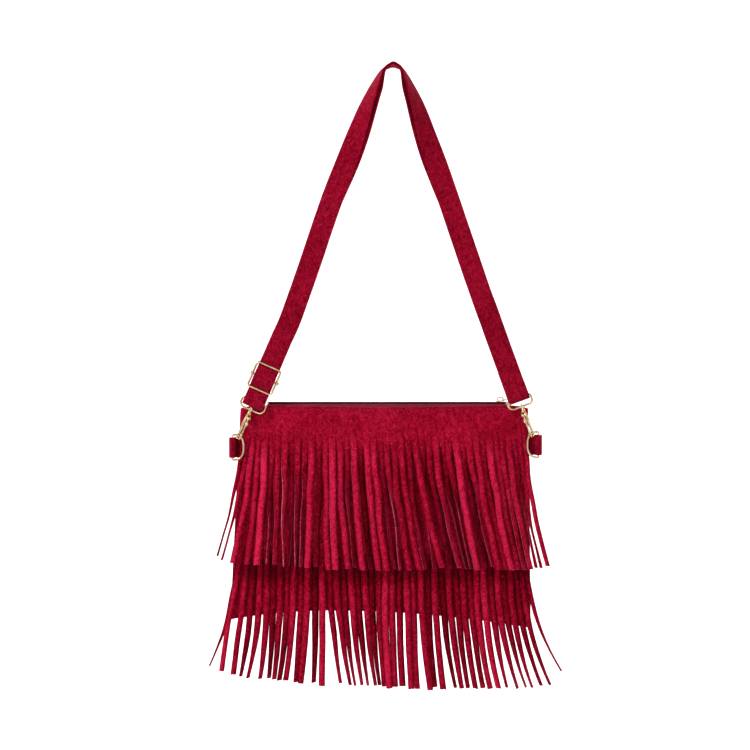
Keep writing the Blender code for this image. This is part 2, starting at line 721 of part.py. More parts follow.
def make_clasp_eye(side):
    origin, inboard, front, down = clasp_frame(side)
    low, high = -EYE_FOOT, -EYE_RISE
    points = []
    for way, edge, corner, start in ((1, low, EYE_FOOT_CORNER, 90), (1, high, EYE_BAR_CORNER, 0),
                                     (-1, high, EYE_BAR_CORNER, -90), (-1, low, EYE_FOOT_CORNER, 180)):
        inset = -corner if edge == low else corner
        for k in range(5):
            a = radians(start - 90 * k / 4)
            points.append(origin + inboard * (way * (EYE_HALF - corner) + corner * cos(a))
                          + down * (edge + inset + corner * sin(a)))
    eye = wire("clasp_eye_" + side, points, WIRE, PALE_GOLD, closed=True)
    boss = cylinder("boss", origin - down * (EYE_FOOT + BOSS_RISE), origin - down * GAP, BOSS_RADIUS, PALE_GOLD)
    combine(eye, boss, "UNION")
    bore = cylinder("bore", origin - down * (EYE_FOOT + 4 * MM), origin + down * 2 * MM,
                    STEM_RADIUS + PIN_FIT, PALE_GOLD, coll=CUTTERS)
    combine(eye, bore, "DIFFERENCE")


def gate_pivot(side):
    origin, across, _, down = hook_axes(side)
    return origin + across * GATE_PIN_ACROSS + down * GATE_PIN_DOWN


def at_hook(h, v):
    """A point of the hook while it is built about its swivel: h across and v down the clasp."""
    return X * h + Z * v


def carry_to_clasp(side, *names):
    """Move pieces that were built about the swivel to their side's clasp."""
    origin, across, normal, down = hook_axes(side)
    turned_to = Matrix((across, -normal, down)).transposed().to_4x4()
    for name in names:
        bpy.data.objects[name].data.transform(Matrix.Translation(origin) @ turned_to)


def make_clasp_hook(side):
    """Hook, gate and pin, built about the swivel with X across, -Y along the pin and Z down the clasp."""
    pivot = at_hook(GATE_PIN_ACROSS, GATE_PIN_DOWN)
    stem_top = EYE_FOOT + BOSS_RISE + GAP
    head_radius = STEM_RADIUS + STEM_HEAD
    profile = ((-stem_top - 1.0 * MM, head_radius - 0.4 * MM), (-stem_top - 0.5 * MM, head_radius),
               (-stem_top, head_radius), (-stem_top, STEM_RADIUS), (0.0, STEM_RADIUS), (0.0, 1.5 * MM),
               (2.0 * MM, 1.9 * MM), (3.2 * MM, 1.7 * MM))
    hook = turned("clasp_hook_" + side, Vector(), Z, X, profile, PALE_GOLD)
    bend_v = HOOK_LONG - HOOK_WIRE - HOOK_HALF
    points = [at_hook(0, 1.2 * MM), at_hook(-1.3 * MM, 4.0 * MM), at_hook(-HOOK_HALF + 0.8 * MM, 7.2 * MM),
              at_hook(-HOOK_HALF, 11 * MM), at_hook(-HOOK_HALF, 16 * MM)]
    radii = [1.5 * MM, 1.5 * MM, 1.45 * MM, 1.4 * MM, 1.35 * MM]
    for k in range(11):
        a = pi - pi * k / 10
        points.append(at_hook(HOOK_HALF * cos(a), bend_v + HOOK_HALF * sin(a)))
        radii.append(HOOK_WIRE)
    points.append(at_hook(HOOK_HALF, bend_v - NOSE_LONG))
    radii.append(1.05 * MM)
    combine(hook, wire("arm", points, HOOK_WIRE, PALE_GOLD, radii=radii), "UNION")
    inner, outer = GATE_HALF_THICK + GAP, GATE_HALF_THICK + GAP + EAR_THICK
    for way in (-1, 1):
        corners = []
        for k in range(12):
            a = 2 * pi * (k + 0.5) / 12
            for level in (inner, outer):
                round_pin = pivot + at_hook(cos(a), sin(a)) * EAR_RADIUS
                at_collar = at_hook(1.1 * MM * cos(a), 2.3 * MM + 1.1 * MM * sin(a))
                corners += [round_pin + Y * way * level, at_collar + Y * way * level]
        combine(hook, hull("ear", corners, PALE_GOLD), "UNION")
    combine(hook, pin_bore(pivot), "DIFFERENCE")
    make_gate(side, bend_v - NOSE_LONG - GAP)
    carry_to_clasp(side, "clasp_hook_" + side, "clasp_gate_" + side, "gate_pin_" + side)


def pin_bore(pivot):
    return cylinder("bore", pivot - Y * 4 * MM, pivot + Y * 4 * MM,
                    GATE_PIN_RADIUS + PIN_FIT, PALE_GOLD, coll=CUTTERS)


def make_gate(side, end_v):
    """The gate's pin, and the gate: an eye on the pin, a bar down to the hook's nose and a thumb plate."""
    pivot = at_hook(GATE_PIN_ACROSS, GATE_PIN_DOWN)
    reach = GATE_HALF_THICK + GAP + EAR_THICK + 0.2 * MM
    cylinder("gate_pin_" + side, pivot - Y * reach, pivot + Y * reach, GATE_PIN_RADIUS, PALE_GOLD)
    half = Y * GATE_HALF_THICK
    gate = cylinder("clasp_gate_" + side, pivot - half, pivot + half, GATE_EYE_RADIUS, PALE_GOLD)
    points = [at_hook(HOOK_HALF - 0.7 * MM, GATE_PIN_DOWN + 0.5 * MM),
              at_hook(HOOK_HALF - 0.2 * MM, GATE_PIN_DOWN + 3 * MM),
              at_hook(HOOK_HALF, GATE_PIN_DOWN + 6 * MM), at_hook(HOOK_HALF, end_v)]
    combine(gate, wire("bar", points, GATE_WIRE, PALE_GOLD), "UNION")
    thumb = box("thumb", at_hook(HOOK_HALF + GATE_WIRE, GATE_PIN_DOWN + 5.6 * MM), X, -Y, Z,
                THUMB_SIZE, PALE_GOLD)
    rounding = thumb.modifiers.new("rounding", "BEVEL")
    rounding.width = 0.4 * MM
    rounding.segments = 2
    combine(gate, thumb, "UNION")
    combine(gate, pin_bore(pivot), "DIFFERENCE")


# The strap: one flat tape of two layers, from the right clasp over the top to the left clasp and slider

def strap_section(centre, across, normal, thick, wide):
    """Ten points round the tape, with a groove along each edge between its two layers."""
    half = wide / 2
    edge = ((0.5, 0.5), (0.0, 0.27), (0.45, 0.0), (0.0, -0.27), (0.5, -0.5))
    ring = []
    for inset, level in edge:
        ring.append(centre + across * (half - inset * MM) + normal * thick * level)
    for inset, level in reversed(edge):
        ring.append(centre - across * (half - inset * MM) + normal * thick * level)
    return ring


def strap_end_axes(side):
    """Across, front and up axes of the strap's straight end on one side."""
    sign = SIDES[side]["sign"]
    slant = SIDES[side]["slant"]
    up = Vector((-sign * sin(slant), 0, cos(slant)))
    across = Vector((cos(slant), 0, sign * sin(slant)))
    return eye_bar(side), across, Vector((0, -1, 0)), up


def fold_points(radius, centre_up):
    """The bend round the eye's bar, front to back, as (up, front) pairs."""
    return [(centre_up - radius * sin(pi * k / 8), radius * cos(pi * k / 8)) for k in range(9)]


def left_end():
    """(up, front) pairs from the straight run down to the end round the adjuster's bar."""
    half = STRAP_THICK / 2
    wrap = BAR_RADIUS + GAP + half
    behind = BAR_FRONT
    over = BAR_FRONT + wrap + STRAP_THICK + GAP
    pairs = [(STRAIGHT_LEFT, behind), (50 * MM, behind), (42 * MM, behind)]
    for k in range(13):
        up = ADJUSTER_UP + FRAME_HALF_TALL * (1 - k / 6)
        rise = 0.5 + 0.5 * cos(pi * (up - ADJUSTER_UP) / FRAME_HALF_TALL)
        pairs.append((up, behind + (over - behind) * rise))
    fold = STRAP_LOOP + half
    centre_up = STRAP_LOOP - WIRE - GAP
    for k in range(1, 4):
        t = k / 4
        up = (ADJUSTER_UP - FRAME_HALF_TALL) * (1 - t) + centre_up * t
        pairs.append((up, behind + (fold - behind) * ease(t)))
    pairs += fold_points(fold, centre_up)
    back = BAR_FRONT - wrap
    for k in range(1, 6):
        t = k / 6
        pairs.append((centre_up + (ADJUSTER_UP - centre_up) * t, -fold + (back + fold) * ease(t)))
    for k in range(13):
        a = radians(262) * k / 12
        pairs.append((ADJUSTER_UP + wrap * sin(a), BAR_FRONT - wrap * cos(a)))
    return pairs


def right_end():
    """(up, front) pairs from the sewn end up the back, round the bar and up the front."""
    half = STRAP_THICK / 2
    together = half + GAP / 2
    fold = STRAP_LOOP + half
    centre_up = STRAP_LOOP - WIRE - GAP
    pairs = [(STRAIGHT_RIGHT, together), (38 * MM, together), (30 * MM, together), (20 * MM, together)]
    for k in range(1, 4):
        t = k / 4
        pairs.append((12 * MM * (1 - t) + centre_up * t, together + (fold - together) * ease(t)))
    pairs += fold_points(fold, centre_up)
    for k in range(1, 4):
        t = k / 4
        pairs.append((centre_up * (1 - t) + 12 * MM * t, -fold + (fold - together) * ease(t)))
    pairs += [(12 * MM, -together), (20 * MM, -together), (28 * MM, -together)]
    return pairs


def leg(side, points, straight):
    """The middle line of one leg, from below the top to the straight end."""
    origin, _, front, up = strap_end_axes(side)
    offset = BAR_FRONT if side == "left" else (STRAP_THICK + GAP) / 2
    end = origin + up * straight + front * offset
    near_end = origin + up * (straight + 26 * MM) + front * offset
    route = [Vector((0, 0, REST_Z))]
    for x, z in points:
        route.append(Vector((x * MM, 0, z * MM)))
    route += [near_end, end]
    length = -end.z
    for p in route[:-2]:
        p.y = end.y * share(-p.z, 0.0, length)
    near_end.y = end.y
    return spline(route, 4)


def leg_stations(side, points, straight):
    """(middle, across, outward, thickness) down one leg, turning from lying flat to facing the front."""
    sign = SIDES[side]["sign"]
    middle = [Vector((sign * REST_FLAT / 2, 0, REST_Z)), *leg(side, points, straight)[2:]]
    stations = []
    travelled = 0.0
    for k, p in enumerate(middle):
        travelled += (p - middle[k - 1]).length if k else 0.0
        ahead = (middle[min(k + 1, len(middle) - 1)] - middle[max(k - 1, 0)]).normalized() if k else X * sign
        turned_by = share(travelled, 0.0, TWIST_LENGTH)
        angle = pi / 2 * (0.55 * sin(pi / 2 * turned_by) + 0.45 * turned_by)
        outward = (Y.cross(ahead) * -sign).normalized()
        edge = (-Y + ahead * ahead.dot(Y)).normalized()
        normal = outward * cos(angle) + edge * sin(angle)
        thick = STRAP_THICK_TOP + (STRAP_THICK - STRAP_THICK_TOP) * ease(turned_by)
        stations.append((p, normal.cross(ahead), normal, thick))
    return stations


def end_stations(side):
    """The same along the strap's straight end, round the eye's bar and back up."""
    origin, across, front, up = strap_end_axes(side)
    pairs = left_end() if side == "left" else right_end()
    stations = []
    for (u0, f0), (u, f), (u1, f1) in zip(pairs, pairs[1:], pairs[2:] + pairs[-1:]):
        travel = (up * (u1 - u0) + front * (f1 - f0)).normalized()
        stations.append((origin + up * u + front * f, across, across.cross(travel), STRAP_THICK))
    return stations


def steady(direction, last):
    """The direction, turned about if it runs against the last one."""
    return -direction if last and direction.dot(last) < 0 else direction


def make_strap():
    right = leg_stations("right", LEG_RIGHT, STRAIGHT_RIGHT) + end_stations("right")
    left = leg_stations("left", LEG_LEFT, STRAIGHT_LEFT) + end_stations("left")
    rings = []
    across = normal = None
    for p, new_across, new_normal, thick in right[::-1] + left:
        across = steady(new_across, across)
        normal = steady(new_normal, normal)
        rings.append(strap_section(p, across, normal, thick, STRAP_WIDE))
    loft("strap", rings, SUEDE_DARK)


def make_adjuster():
    origin, across, front, up = strap_end_axes("left")
    middle = origin + up * ADJUSTER_UP + front * FRAME_FRONT
    corner = 2.5 * MM
    points = []
    for cx, cz, start in ((FRAME_HALF_WIDE - corner, FRAME_HALF_TALL - corner, 90),
                          (FRAME_HALF_WIDE - corner, -FRAME_HALF_TALL + corner, 0),
                          (-FRAME_HALF_WIDE + corner, -FRAME_HALF_TALL + corner, -90),
                          (-FRAME_HALF_WIDE + corner, FRAME_HALF_TALL - corner, 180)):
        for k in range(4):
            a = radians(start - 90 * k / 3)
            points.append(middle + across * (cx + corner * cos(a)) + up * (cz + corner * sin(a)))
    wire("adjuster_frame", points, WIRE, PALE_GOLD, closed=True)
    bar_middle = origin + up * ADJUSTER_UP + front * BAR_FRONT
    reach = FRAME_HALF_WIDE + WIRE
    bar = cylinder("adjuster_bar", bar_middle - across * reach, bar_middle + across * reach, BAR_RADIUS, PALE_GOLD)
    for way in (-1, 1):
        bm = bmesh.new()
        bmesh.ops.create_uvsphere(bm, u_segments=12, v_segments=8, radius=BAR_KNOB)
        bmesh.ops.translate(bm, vec=bar_middle + across * way * reach, verts=bm.verts)
        combine(bar, from_bmesh("knob", bm, PALE_GOLD), "UNION")


def set_origin(point, *names):
    """Put the pieces' origins on the axis that they turn about, without moving the pieces."""
    for name in names:
        obj = bpy.data.objects[name]
        obj.data.transform(Matrix.Translation(-point))
        obj.location = point


make_panels()
make_lining()
make_fringes()
make_zip()
for each_side in SIDES:
    make_tab(each_side)
    make_ring(each_side)
    make_clasp_eye(each_side)
    make_clasp_hook(each_side)
make_strap()
make_adjuster()

set_origin(hold_point("left"), "front_panel", "back_panel", "lining", "upper_fringe", "lower_fringe", "tab_left",
           "tab_right", "zip_tape_front", "zip_tape_back", "zip_coil_front", "zip_coil_back", "zip_stop_left",
           "zip_stop_right")
for each_side in SIDES:
    set_origin(ring_middle(each_side), "d_ring_" + each_side)
    set_origin(eye_bar(each_side), "clasp_eye_" + each_side)
    set_origin(clasp_frame(each_side)[0], "clasp_hook_" + each_side, "gate_pin_" + each_side)
    set_origin(gate_pivot(each_side), "clasp_gate_" + each_side)
set_origin(Vector((slider_x(), 0, ZIP_Z)), "zip_slider")
set_origin(pull_pivot(), "zip_pull")
bpy.context.view_layer.update()
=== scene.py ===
"""Looks of a fringed suede shoulder bag that hangs by its strap."""
from math import cos, degrees, pi, radians, sin

import bmesh
import bpy
from mathutils import Matrix, Vector, noise


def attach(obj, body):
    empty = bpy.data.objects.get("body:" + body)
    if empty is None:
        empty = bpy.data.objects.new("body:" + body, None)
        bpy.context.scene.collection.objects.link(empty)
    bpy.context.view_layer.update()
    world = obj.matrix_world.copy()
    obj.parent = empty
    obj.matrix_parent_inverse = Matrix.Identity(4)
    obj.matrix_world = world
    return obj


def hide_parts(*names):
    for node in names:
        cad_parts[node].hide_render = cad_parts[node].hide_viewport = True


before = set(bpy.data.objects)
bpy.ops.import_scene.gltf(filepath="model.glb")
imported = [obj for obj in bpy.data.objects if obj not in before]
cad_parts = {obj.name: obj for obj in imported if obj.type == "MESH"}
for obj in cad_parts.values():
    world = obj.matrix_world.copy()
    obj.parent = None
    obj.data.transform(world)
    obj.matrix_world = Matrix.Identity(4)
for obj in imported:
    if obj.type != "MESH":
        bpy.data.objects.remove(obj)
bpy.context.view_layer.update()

MM = 0.001
PX = 0.93 * MM            # one pixel of the photograph on the bag's plane
X, Y, Z = Vector((1, 0, 0)), Vector((0, 1, 0)), Vector((0, 0, 1))

# The bag's shape, as in the part's source
BAG_X, TOP_Z, TOP_SAG, CORNER_DROP = -8.5 * MM, -316.0 * MM, 2.6 * MM, 4.0 * MM
BODY_HEIGHT, HALF_TOP, HALF_BOTTOM, LEAN = 193.0 * MM, 134.0 * MM, 140.5 * MM, -3.5 * MM
BOTTOM_CROWN, BOTTOM_DROP_LEFT, BOTTOM_DROP_RIGHT = -47.0 * MM, 8.5 * MM, 16.5 * MM
SEAM_HALF, MOUTH_HALF, BELLY_HALF, BELLY_AT = 0.15 * MM, 4.8 * MM, 10.5 * MM, 0.55
GAP, SUEDE, TAB_THICK, TAB_HALF = 0.3 * MM, 1.2 * MM, 1.3 * MM, 9.5 * MM
UPPER_BAND, LOWER_DROP, LOWER_BAND = 25.0 * MM, 112.0 * MM, 14.0 * MM
TAB_MIDDLE = {"left": -356.44 * MM, "right": -354.0 * MM}


def px(x, y):
    """A place in the photograph as (x, z) on the bag's plane."""
    return (x - 393.5) * PX, -(y - 64.5) * PX


def share(value, low, high):
    return min(1.0, max(0.0, (value - low) / (high - low)))


def ease(t):
    return t * t * (3 - 2 * t)


def chance(index, salt):
    """A fixed number from -1 to 1."""
    value = sin(index * 12.9898 + salt * 78.233) * 43758.5453
    return 2 * (value - int(value)) - (1 if value > 0 else -1)


def bag_half(v):
    return HALF_TOP + (HALF_BOTTOM - HALF_TOP) * v


def bag_middle(v):
    return BAG_X + LEAN * v


def top_edge(u):
    return TOP_Z - TOP_SAG * (1 - u * u) - CORNER_DROP * abs(u) ** 14


def bottom_edge(u):
    x = u * HALF_BOTTOM
    if x < BOTTOM_CROWN:
        drop = BOTTOM_DROP_LEFT * ((BOTTOM_CROWN - x) / (HALF_BOTTOM + BOTTOM_CROWN)) ** 2
    else:
        drop = BOTTOM_DROP_RIGHT * ((x - BOTTOM_CROWN) / (HALF_BOTTOM - BOTTOM_CROWN)) ** 2
    return TOP_Z - BODY_HEIGHT - drop


def belly(v):
    if v < BELLY_AT:
        return MOUTH_HALF + (BELLY_HALF - MOUTH_HALF) * sin(pi / 2 * v / BELLY_AT)
    return BELLY_HALF * max(0.0, 1 - ((v - BELLY_AT) / (1 - BELLY_AT)) ** 2.2)


def tab_room(u, z):
    offset = abs(z - TAB_MIDDLE["left" if u < 0 else "right"]) - TAB_HALF
    return (TAB_THICK + GAP) * ease(share(-offset, -40 * MM, -20 * MM)) * ease(share(abs(u), 0.7, 0.9))


def inner_depth(u, v):
    z = top_edge(u) + (bottom_edge(u) - top_edge(u)) * v
    square = 6.0 - 2.6 * ease(share(v, 0.0, BELLY_AT))
    return SEAM_HALF + belly(v) * max(0.0, 1 - abs(u) ** square) ** 0.8 + tab_room(u, z)


# Makers of meshes

def add_object(name, mesh, *materials):
    obj = bpy.data.objects.new(name, mesh)
    bpy.context.scene.collection.objects.link(obj)
    for mat in materials:
        mesh.materials.append(mat)
    return obj


def finish_mesh(name, bm, *materials, smooth=True, angle=None):
    mesh = bpy.data.meshes.new(name)
    bm.to_mesh(mesh)
    bm.free()
    obj = add_object(name, mesh, *materials)
    for face in mesh.polygons:
        face.use_smooth = smooth
    if angle:
        mesh.set_sharp_from_angle(angle=radians(angle))
    return obj


def settle(obj):
    """Apply an object's modifiers to its mesh."""
    graph = bpy.context.evaluated_depsgraph_get()
    graph.update()
    mesh = bpy.data.meshes.new_from_object(obj.evaluated_get(graph))
    obj.modifiers.clear()
    obj.data = mesh
    return obj


def add_rings(bm, rings, closed=False, slot=0):
    """Skin over rings of points; the ends are filled unless it closes on itself."""
    rows = [[bm.verts.new(p) for p in ring] for ring in rings]
    count = len(rows[0])
    pairs = list(zip(rows, rows[1:])) + ([(rows[-1], rows[0])] if closed else [])
    for a, b in pairs:
        for k in range(count):
            n = (k + 1) % count
            bm.faces.new((a[k], a[n], b[n], b[k])).material_index = slot
    if not closed:
        for row in (rows[0], rows[-1][::-1]):
            middle = bm.verts.new(sum((v.co for v in row), Vector()) / count)
            for k in range(count):
                bm.faces.new((row[(k + 1) % count], row[k], middle)).material_index = slot


def path_frames(points, closed):
    """Tangent and two steady side directions at every point of a path."""
    count = len(points)
    tangents = []
    for k in range(count):
        before = points[k - 1] if closed or k else points[0]
        after = points[(k + 1) % count] if closed or k < count - 1 else points[-1]
        tangents.append((after - before).normalized())
    side = tangents[0].orthogonal().normalized()
    frames = []
    for k, tangent in enumerate(tangents):
        side = (side - tangent * side.dot(tangent)).normalized()
        frames.append((tangent, side, tangent.cross(side)))
    return frames


def smooth_path(points, steps, closed=False):
    """A smooth curve through the points."""
    if closed:
        pts = [points[-1], *points, points[0], points[1]]
    else:
        pts = [points[0] * 2 - points[1], *points, points[-1] * 2 - points[-2]]
    out = []
    for p0, p1, p2, p3 in zip(pts, pts[1:], pts[2:], pts[3:]):
        for k in range(steps):
            t = k / steps
            out.append(0.5 * (2 * p1 + (p2 - p0) * t + (2 * p0 - 5 * p1 + 4 * p2 - p3) * t * t
                              + (3 * p1 - p0 - 3 * p2 + p3) * t ** 3))
    if not closed:
        out.append(points[-1])
    return out


def add_rod(bm, points, radii, sides=16, closed=False, flat=1.0):
    """A round bar along a path; radii is one number or one for each point."""
    if not isinstance(radii, (list, tuple)):
        radii = [radii] * len(points)
    rings = []
    for p, r, (_, side, other) in zip(points, radii, path_frames(points, closed)):
        turns = [2 * pi * k / sides for k in range(sides)]
        rings.append([p + (side * cos(a) + other * sin(a) * flat) * r for a in turns])
    add_rings(bm, rings, closed)


def add_turned(bm, origin, axis, profile, sides=28, bored=False):
    """A round solid about an axis from (distance, radius) pairs; bored leaves it open through the middle."""
    side = axis.orthogonal().normalized()
    other = axis.cross(side)
    rings = []
    for distance, radius in profile:
        turns = [2 * pi * k / sides for k in range(sides)]
        rings.append([origin + axis * distance + (side * cos(a) + other * sin(a)) * radius for a in turns])
    add_rings(bm, rings, bored)


def add_plate(bm, outline, thickness, rounding=0.0):
    """A flat plate over an outline (point list), thickened both ways along the vector."""
    made = bmesh.new()
    low = [made.verts.new(p - thickness) for p in outline]
    high = [made.verts.new(p + thickness) for p in outline]
    made.faces.new(low)
    made.faces.new(high[::-1])
    for k in range(len(outline)):
        n = (k + 1) % len(outline)
        made.faces.new((low[n], low[k], high[k], high[n]))
    bmesh.ops.recalc_face_normals(made, faces=made.faces)
    if rounding:
        edges = [e for e in made.edges if e.calc_face_angle(0) > radians(40)]
        bmesh.ops.bevel(made, geom=edges, offset=rounding, segments=3, profile=0.5, affect="EDGES")
    mesh = bpy.data.meshes.new("plate")
    made.to_mesh(mesh)
    made.free()
    bm.from_mesh(mesh)
    bpy.data.meshes.remove(mesh)


# Shader maths

class Value:
    """A socket of a material; the operators add Math nodes."""

    def __init__(self, look, socket):
        self.look, self.socket = look, socket

    def math(self, operation, a, b):
        return self.look.node("ShaderNodeMath", {"operation": operation}, {0: a, 1: b})

    def __add__(self, other):
        return self.math("ADD", self, other)

    def __sub__(self, other):
        return self.math("SUBTRACT", self, other)

    def __rsub__(self, other):
        return self.math("SUBTRACT", other, self)

    def __mul__(self, other):
        return self.math("MULTIPLY", self, other)

    def __pow__(self, other):
        return self.math("POWER", self, other)

    __radd__ = __add__
    __rmul__ = __mul__


class Look:
    """One material and the nodes that make it."""

    def __init__(self, name):
        self.mat = bpy.data.materials.new(name)
        self.mat.use_nodes = True
        self.tree = self.mat.node_tree
        self.shader = self.tree.nodes["Principled BSDF"]
        self.place = self.node("ShaderNodeTexCoord", out="Object")

    def put(self, socket, value):
        if isinstance(value, Value):
            self.tree.links.new(value.socket, socket)
        else:
            socket.default_value = value

    def node(self, kind, settings=None, sockets=None, out=0):
        made = self.tree.nodes.new(kind)
        for key, value in (settings or {}).items():
            if key == "stops":
                ramp = made.color_ramp
                while len(ramp.elements) < len(value):
                    ramp.elements.new(0.5)
                for element, (at, colour) in zip(ramp.elements, value):
                    element.position = at
                    element.color = (*colour, 1.0)
            else:
                setattr(made, key, value)
        for key, value in (sockets or {}).items():
            self.put(made.inputs[key], value)
        return Value(self, made.outputs[out])

    def noise(self, scale, detail=2.0, stretch=None, rough=0.5, warp=0.0):
        at = self.place
        if stretch:
            at = self.node("ShaderNodeMapping", {}, {"Vector": at, "Scale": stretch})
        return self.node("ShaderNodeTexNoise", {}, {"Vector": at, "Scale": scale, "Detail": detail,
                                                    "Roughness": rough, "Distortion": warp}, out="Fac")

    def ramp(self, fac, *stops):
        return self.node("ShaderNodeValToRGB", {"stops": stops}, {"Fac": fac}, out="Color")

    def mix(self, fac, a, b, blend="MIX"):
        return self.node("ShaderNodeMix", {"data_type": "RGBA", "blend_type": blend},
                         {0: fac, 6: a, 7: b}, out=2)

    def bump(self, height, strength, distance):
        return self.node("ShaderNodeBump", {}, {"Height": height, "Strength": strength, "Distance": distance},
                         out="Normal")

    def set(self, **sockets):
        for name, value in sockets.items():
            self.put(self.shader.inputs[name.replace("_", " ")], value)
        return self.mat


def linear(code):
    """A colour code such as C4203F as linear numbers."""
    parts = [int(code[k:k + 2], 16) / 255 for k in (0, 2, 4)]
    return tuple(p / 12.92 if p <= 0.04045 else ((p + 0.055) / 1.055) ** 2.4 for p in parts)


def suede(name, deep, middle, bright, nap=1.0):
    """Napped suede: matted fibres, brush-marked patches and short pale hairs that catch the light; the nap attribute
    adds painted shade on the fringe strips.
    """
    look = Look(name)
    fine = look.noise(1700, 3.0, rough=0.7)
    fibre = look.noise(640, 4.0, stretch=(1.0, 1.0, 0.7), rough=0.7, warp=1.2)
    matted = look.noise(190, 2.0, warp=0.8)
    patch = look.noise(26, 3.0, warp=0.4)
    # the nap attribute: a random tone and, on the fringe strips, painted shade and painted shadow
    nap_and_shade = look.node("ShaderNodeAttribute", {"attribute_name": "nap"}, out="Fac")
    tone = fibre * 0.58 + fine * 0.25 + matted * 0.09 + patch * 0.08 + nap_and_shade * 0.075
    colour = look.ramp(tone, (0.385, linear(deep)), (0.49, linear(middle)), (0.65, linear(bright)))
    height = fibre * 0.6 + fine * 0.25 + matted * 0.35
    look.set(Base_Color=colour, Roughness=0.95, Normal=look.bump(height, 0.7 * nap, 0.0008),
             Sheen_Weight=0.12, Sheen_Roughness=0.4, Sheen_Tint=(1.0, 0.3, 0.42, 1.0))
    look.put(look.shader.inputs["Specular IOR Level"], 0.02)
    look.mat.diffuse_color = (*linear(middle), 1.0)
    return look.mat


def plated_metal(name, colour, rough):
    """Polished plating with fine rubbing marks and a few dull patches."""
    look = Look(name)
    marks = look.noise(900, 3.0, stretch=(1.0, 1.0, 0.2))
    dull = look.noise(120, 2.0)
    tone = look.ramp(dull, (0.3, linear(colour[0])), (0.7, linear(colour[1])))
    look.set(Base_Color=tone, Metallic=1.0, Roughness=marks * 0.12 + (rough - 0.06) + dull * 0.05,
             Normal=look.bump(marks, 0.08, 0.0002))
    look.put(look.shader.inputs["Specular Tint"], (*linear("7E5C30"), 1.0))
    look.mat.diffuse_color = (*linear(colour[1]), 1.0)
    return look.mat


def woven(name, dark, light, pitch):
    """Plain woven cloth or tape."""
    look = Look(name)
    waves = []
    for direction in ("X", "Z"):
        waves.append(look.node("ShaderNodeTexWave", {"bands_direction": direction, "wave_profile": "SIN"},
                               {"Vector": look.place, "Scale": 0.5 / pitch, "Distortion": 0.4}, out="Fac"))
    weave = waves[0] * 0.5 + waves[1] * 0.5
    blotch = look.noise(160, 2.0)
    look.set(Base_Color=look.ramp(weave * 0.6 + blotch * 0.4, (0.3, linear(dark)), (0.75, linear(light))),
             Roughness=0.85, Normal=look.bump(weave, 0.5, 0.0003))
    look.mat.diffuse_color = (*linear(light), 1.0)
    return look.mat


SUEDE_RED = suede("crimson_suede", "48000A", "92031F", "DA2450")
SUEDE_DARK = suede("deep_crimson_suede", "47000C", "86041F", "C41E42")
CUT_EDGE = suede("cut_suede_edge", "8A1430", "B83C58", "E27E96", 0.6)
LINING = woven("lining_cloth", "1C0206", "3A0810", 0.5 * MM)
ZIP_TAPE = woven("zip_tape_cloth", "5C081C", "9A2C46", 0.35 * MM)
ZIP_COIL = suede("zip_coil_nylon", "2E0810", "4C0E1C", "74182E", 0.2)
THREAD = suede("sewing_thread", "6E0820", "8E1C3C", "AC3C5C", 0.4)
PALE_GOLD = plated_metal("pale_gold_plating", ("CCA26E", "F8E4C0"), 0.13)


# Camera, light and ground

def make_camera():
    data = bpy.data.cameras.new("camera")
    camera = bpy.data.objects.new("camera", data)
    bpy.context.scene.collection.objects.link(camera)
    aim_x, aim_z = px(375, 375)
    distance = 1.9
    camera.location = (aim_x, -distance, aim_z)
    camera.rotation_euler = (radians(90), 0, 0)
    data.sensor_width = 36
    plane = distance - 0.012
    data.lens = 36 * plane / (750 * PX)
    data.clip_start = 0.01
    bpy.context.scene.camera = camera
    bpy.context.scene.view_settings.view_transform = "Standard"


def make_light(name, place, aim, size, power, colour=(1, 1, 1), shape="RECTANGLE", tall=None):
    data = bpy.data.lights.new(name, "AREA")
    data.shape = shape
    data.size = size
    if shape == "RECTANGLE":
        data.size_y = tall or size
    data.energy = power
    data.color = colour
    light = bpy.data.objects.new(name, data)
    bpy.context.scene.collection.objects.link(light)
    light.location = place
    light.rotation_euler = (Vector(aim) - Vector(place)).to_track_quat("-Z", "Y").to_euler()
    return light


def make_stage():
    """A pale round floor that runs up into a pale wall, wide enough for a view from every side."""
    look = Look("pale_ground")
    look.set(Base_Color=look.ramp(look.noise(3, 2.0), (0.3, (0.86, 0.855, 0.85)), (0.7, (0.88, 0.875, 0.87))),
             Roughness=0.9)
    low, wall, bend, sides = -0.92, 3.6, 0.9, 72
    profile = [(0.4, low), (wall - bend, low)]
    profile += [(wall - bend + bend * sin(a), low + bend - bend * cos(a)) for a in (pi / 2 * k / 12 for k in range(1, 13))]
    profile += [(wall, 2.8)]
    bm = bmesh.new()
    rows = [[bm.verts.new((r * cos(2 * pi * k / sides), r * sin(2 * pi * k / sides), z)) for k in range(sides)]
            for r, z in profile]
    bm.faces.new(rows[0])
    for a, b in zip(rows, rows[1:]):
        for k in range(sides):
            n = (k + 1) % sides
            bm.faces.new((a[k], b[k], b[n], a[n]))
    finish_mesh("ground", bm, look.mat)


def make_lights():
    world = bpy.data.worlds.new("studio")
    bpy.context.scene.world = world
    world.use_nodes = True
    back = world.node_tree.nodes["Background"]
    back.inputs["Color"].default_value = (0.95, 0.97, 1.0, 1.0)
    back.inputs["Strength"].default_value = 0.16
    make_light("key", (-1.25, -1.0, 1.15), (0, 0, -0.42), 0.55, 25, (1.0, 0.985, 0.96))
    make_light("fill", (1.6, -1.5, 0.1), (0, 0, -0.4), 1.2, 1.2, (0.96, 0.98, 1.0))
    for side in (-1, 1):
        name = "left" if side < 0 else "right"
        make_light("wall_back_" + name, (side * 1.7, 2.1, 2.0), (side * 0.8, 3.6, -0.2), 1.5, 84)
        make_light("wall_front_" + name, (side * 1.9, -2.0, 2.2), (side * 1.2, -3.6, 0.2), 1.2, 9)


make_camera()
make_stage()
make_lights()


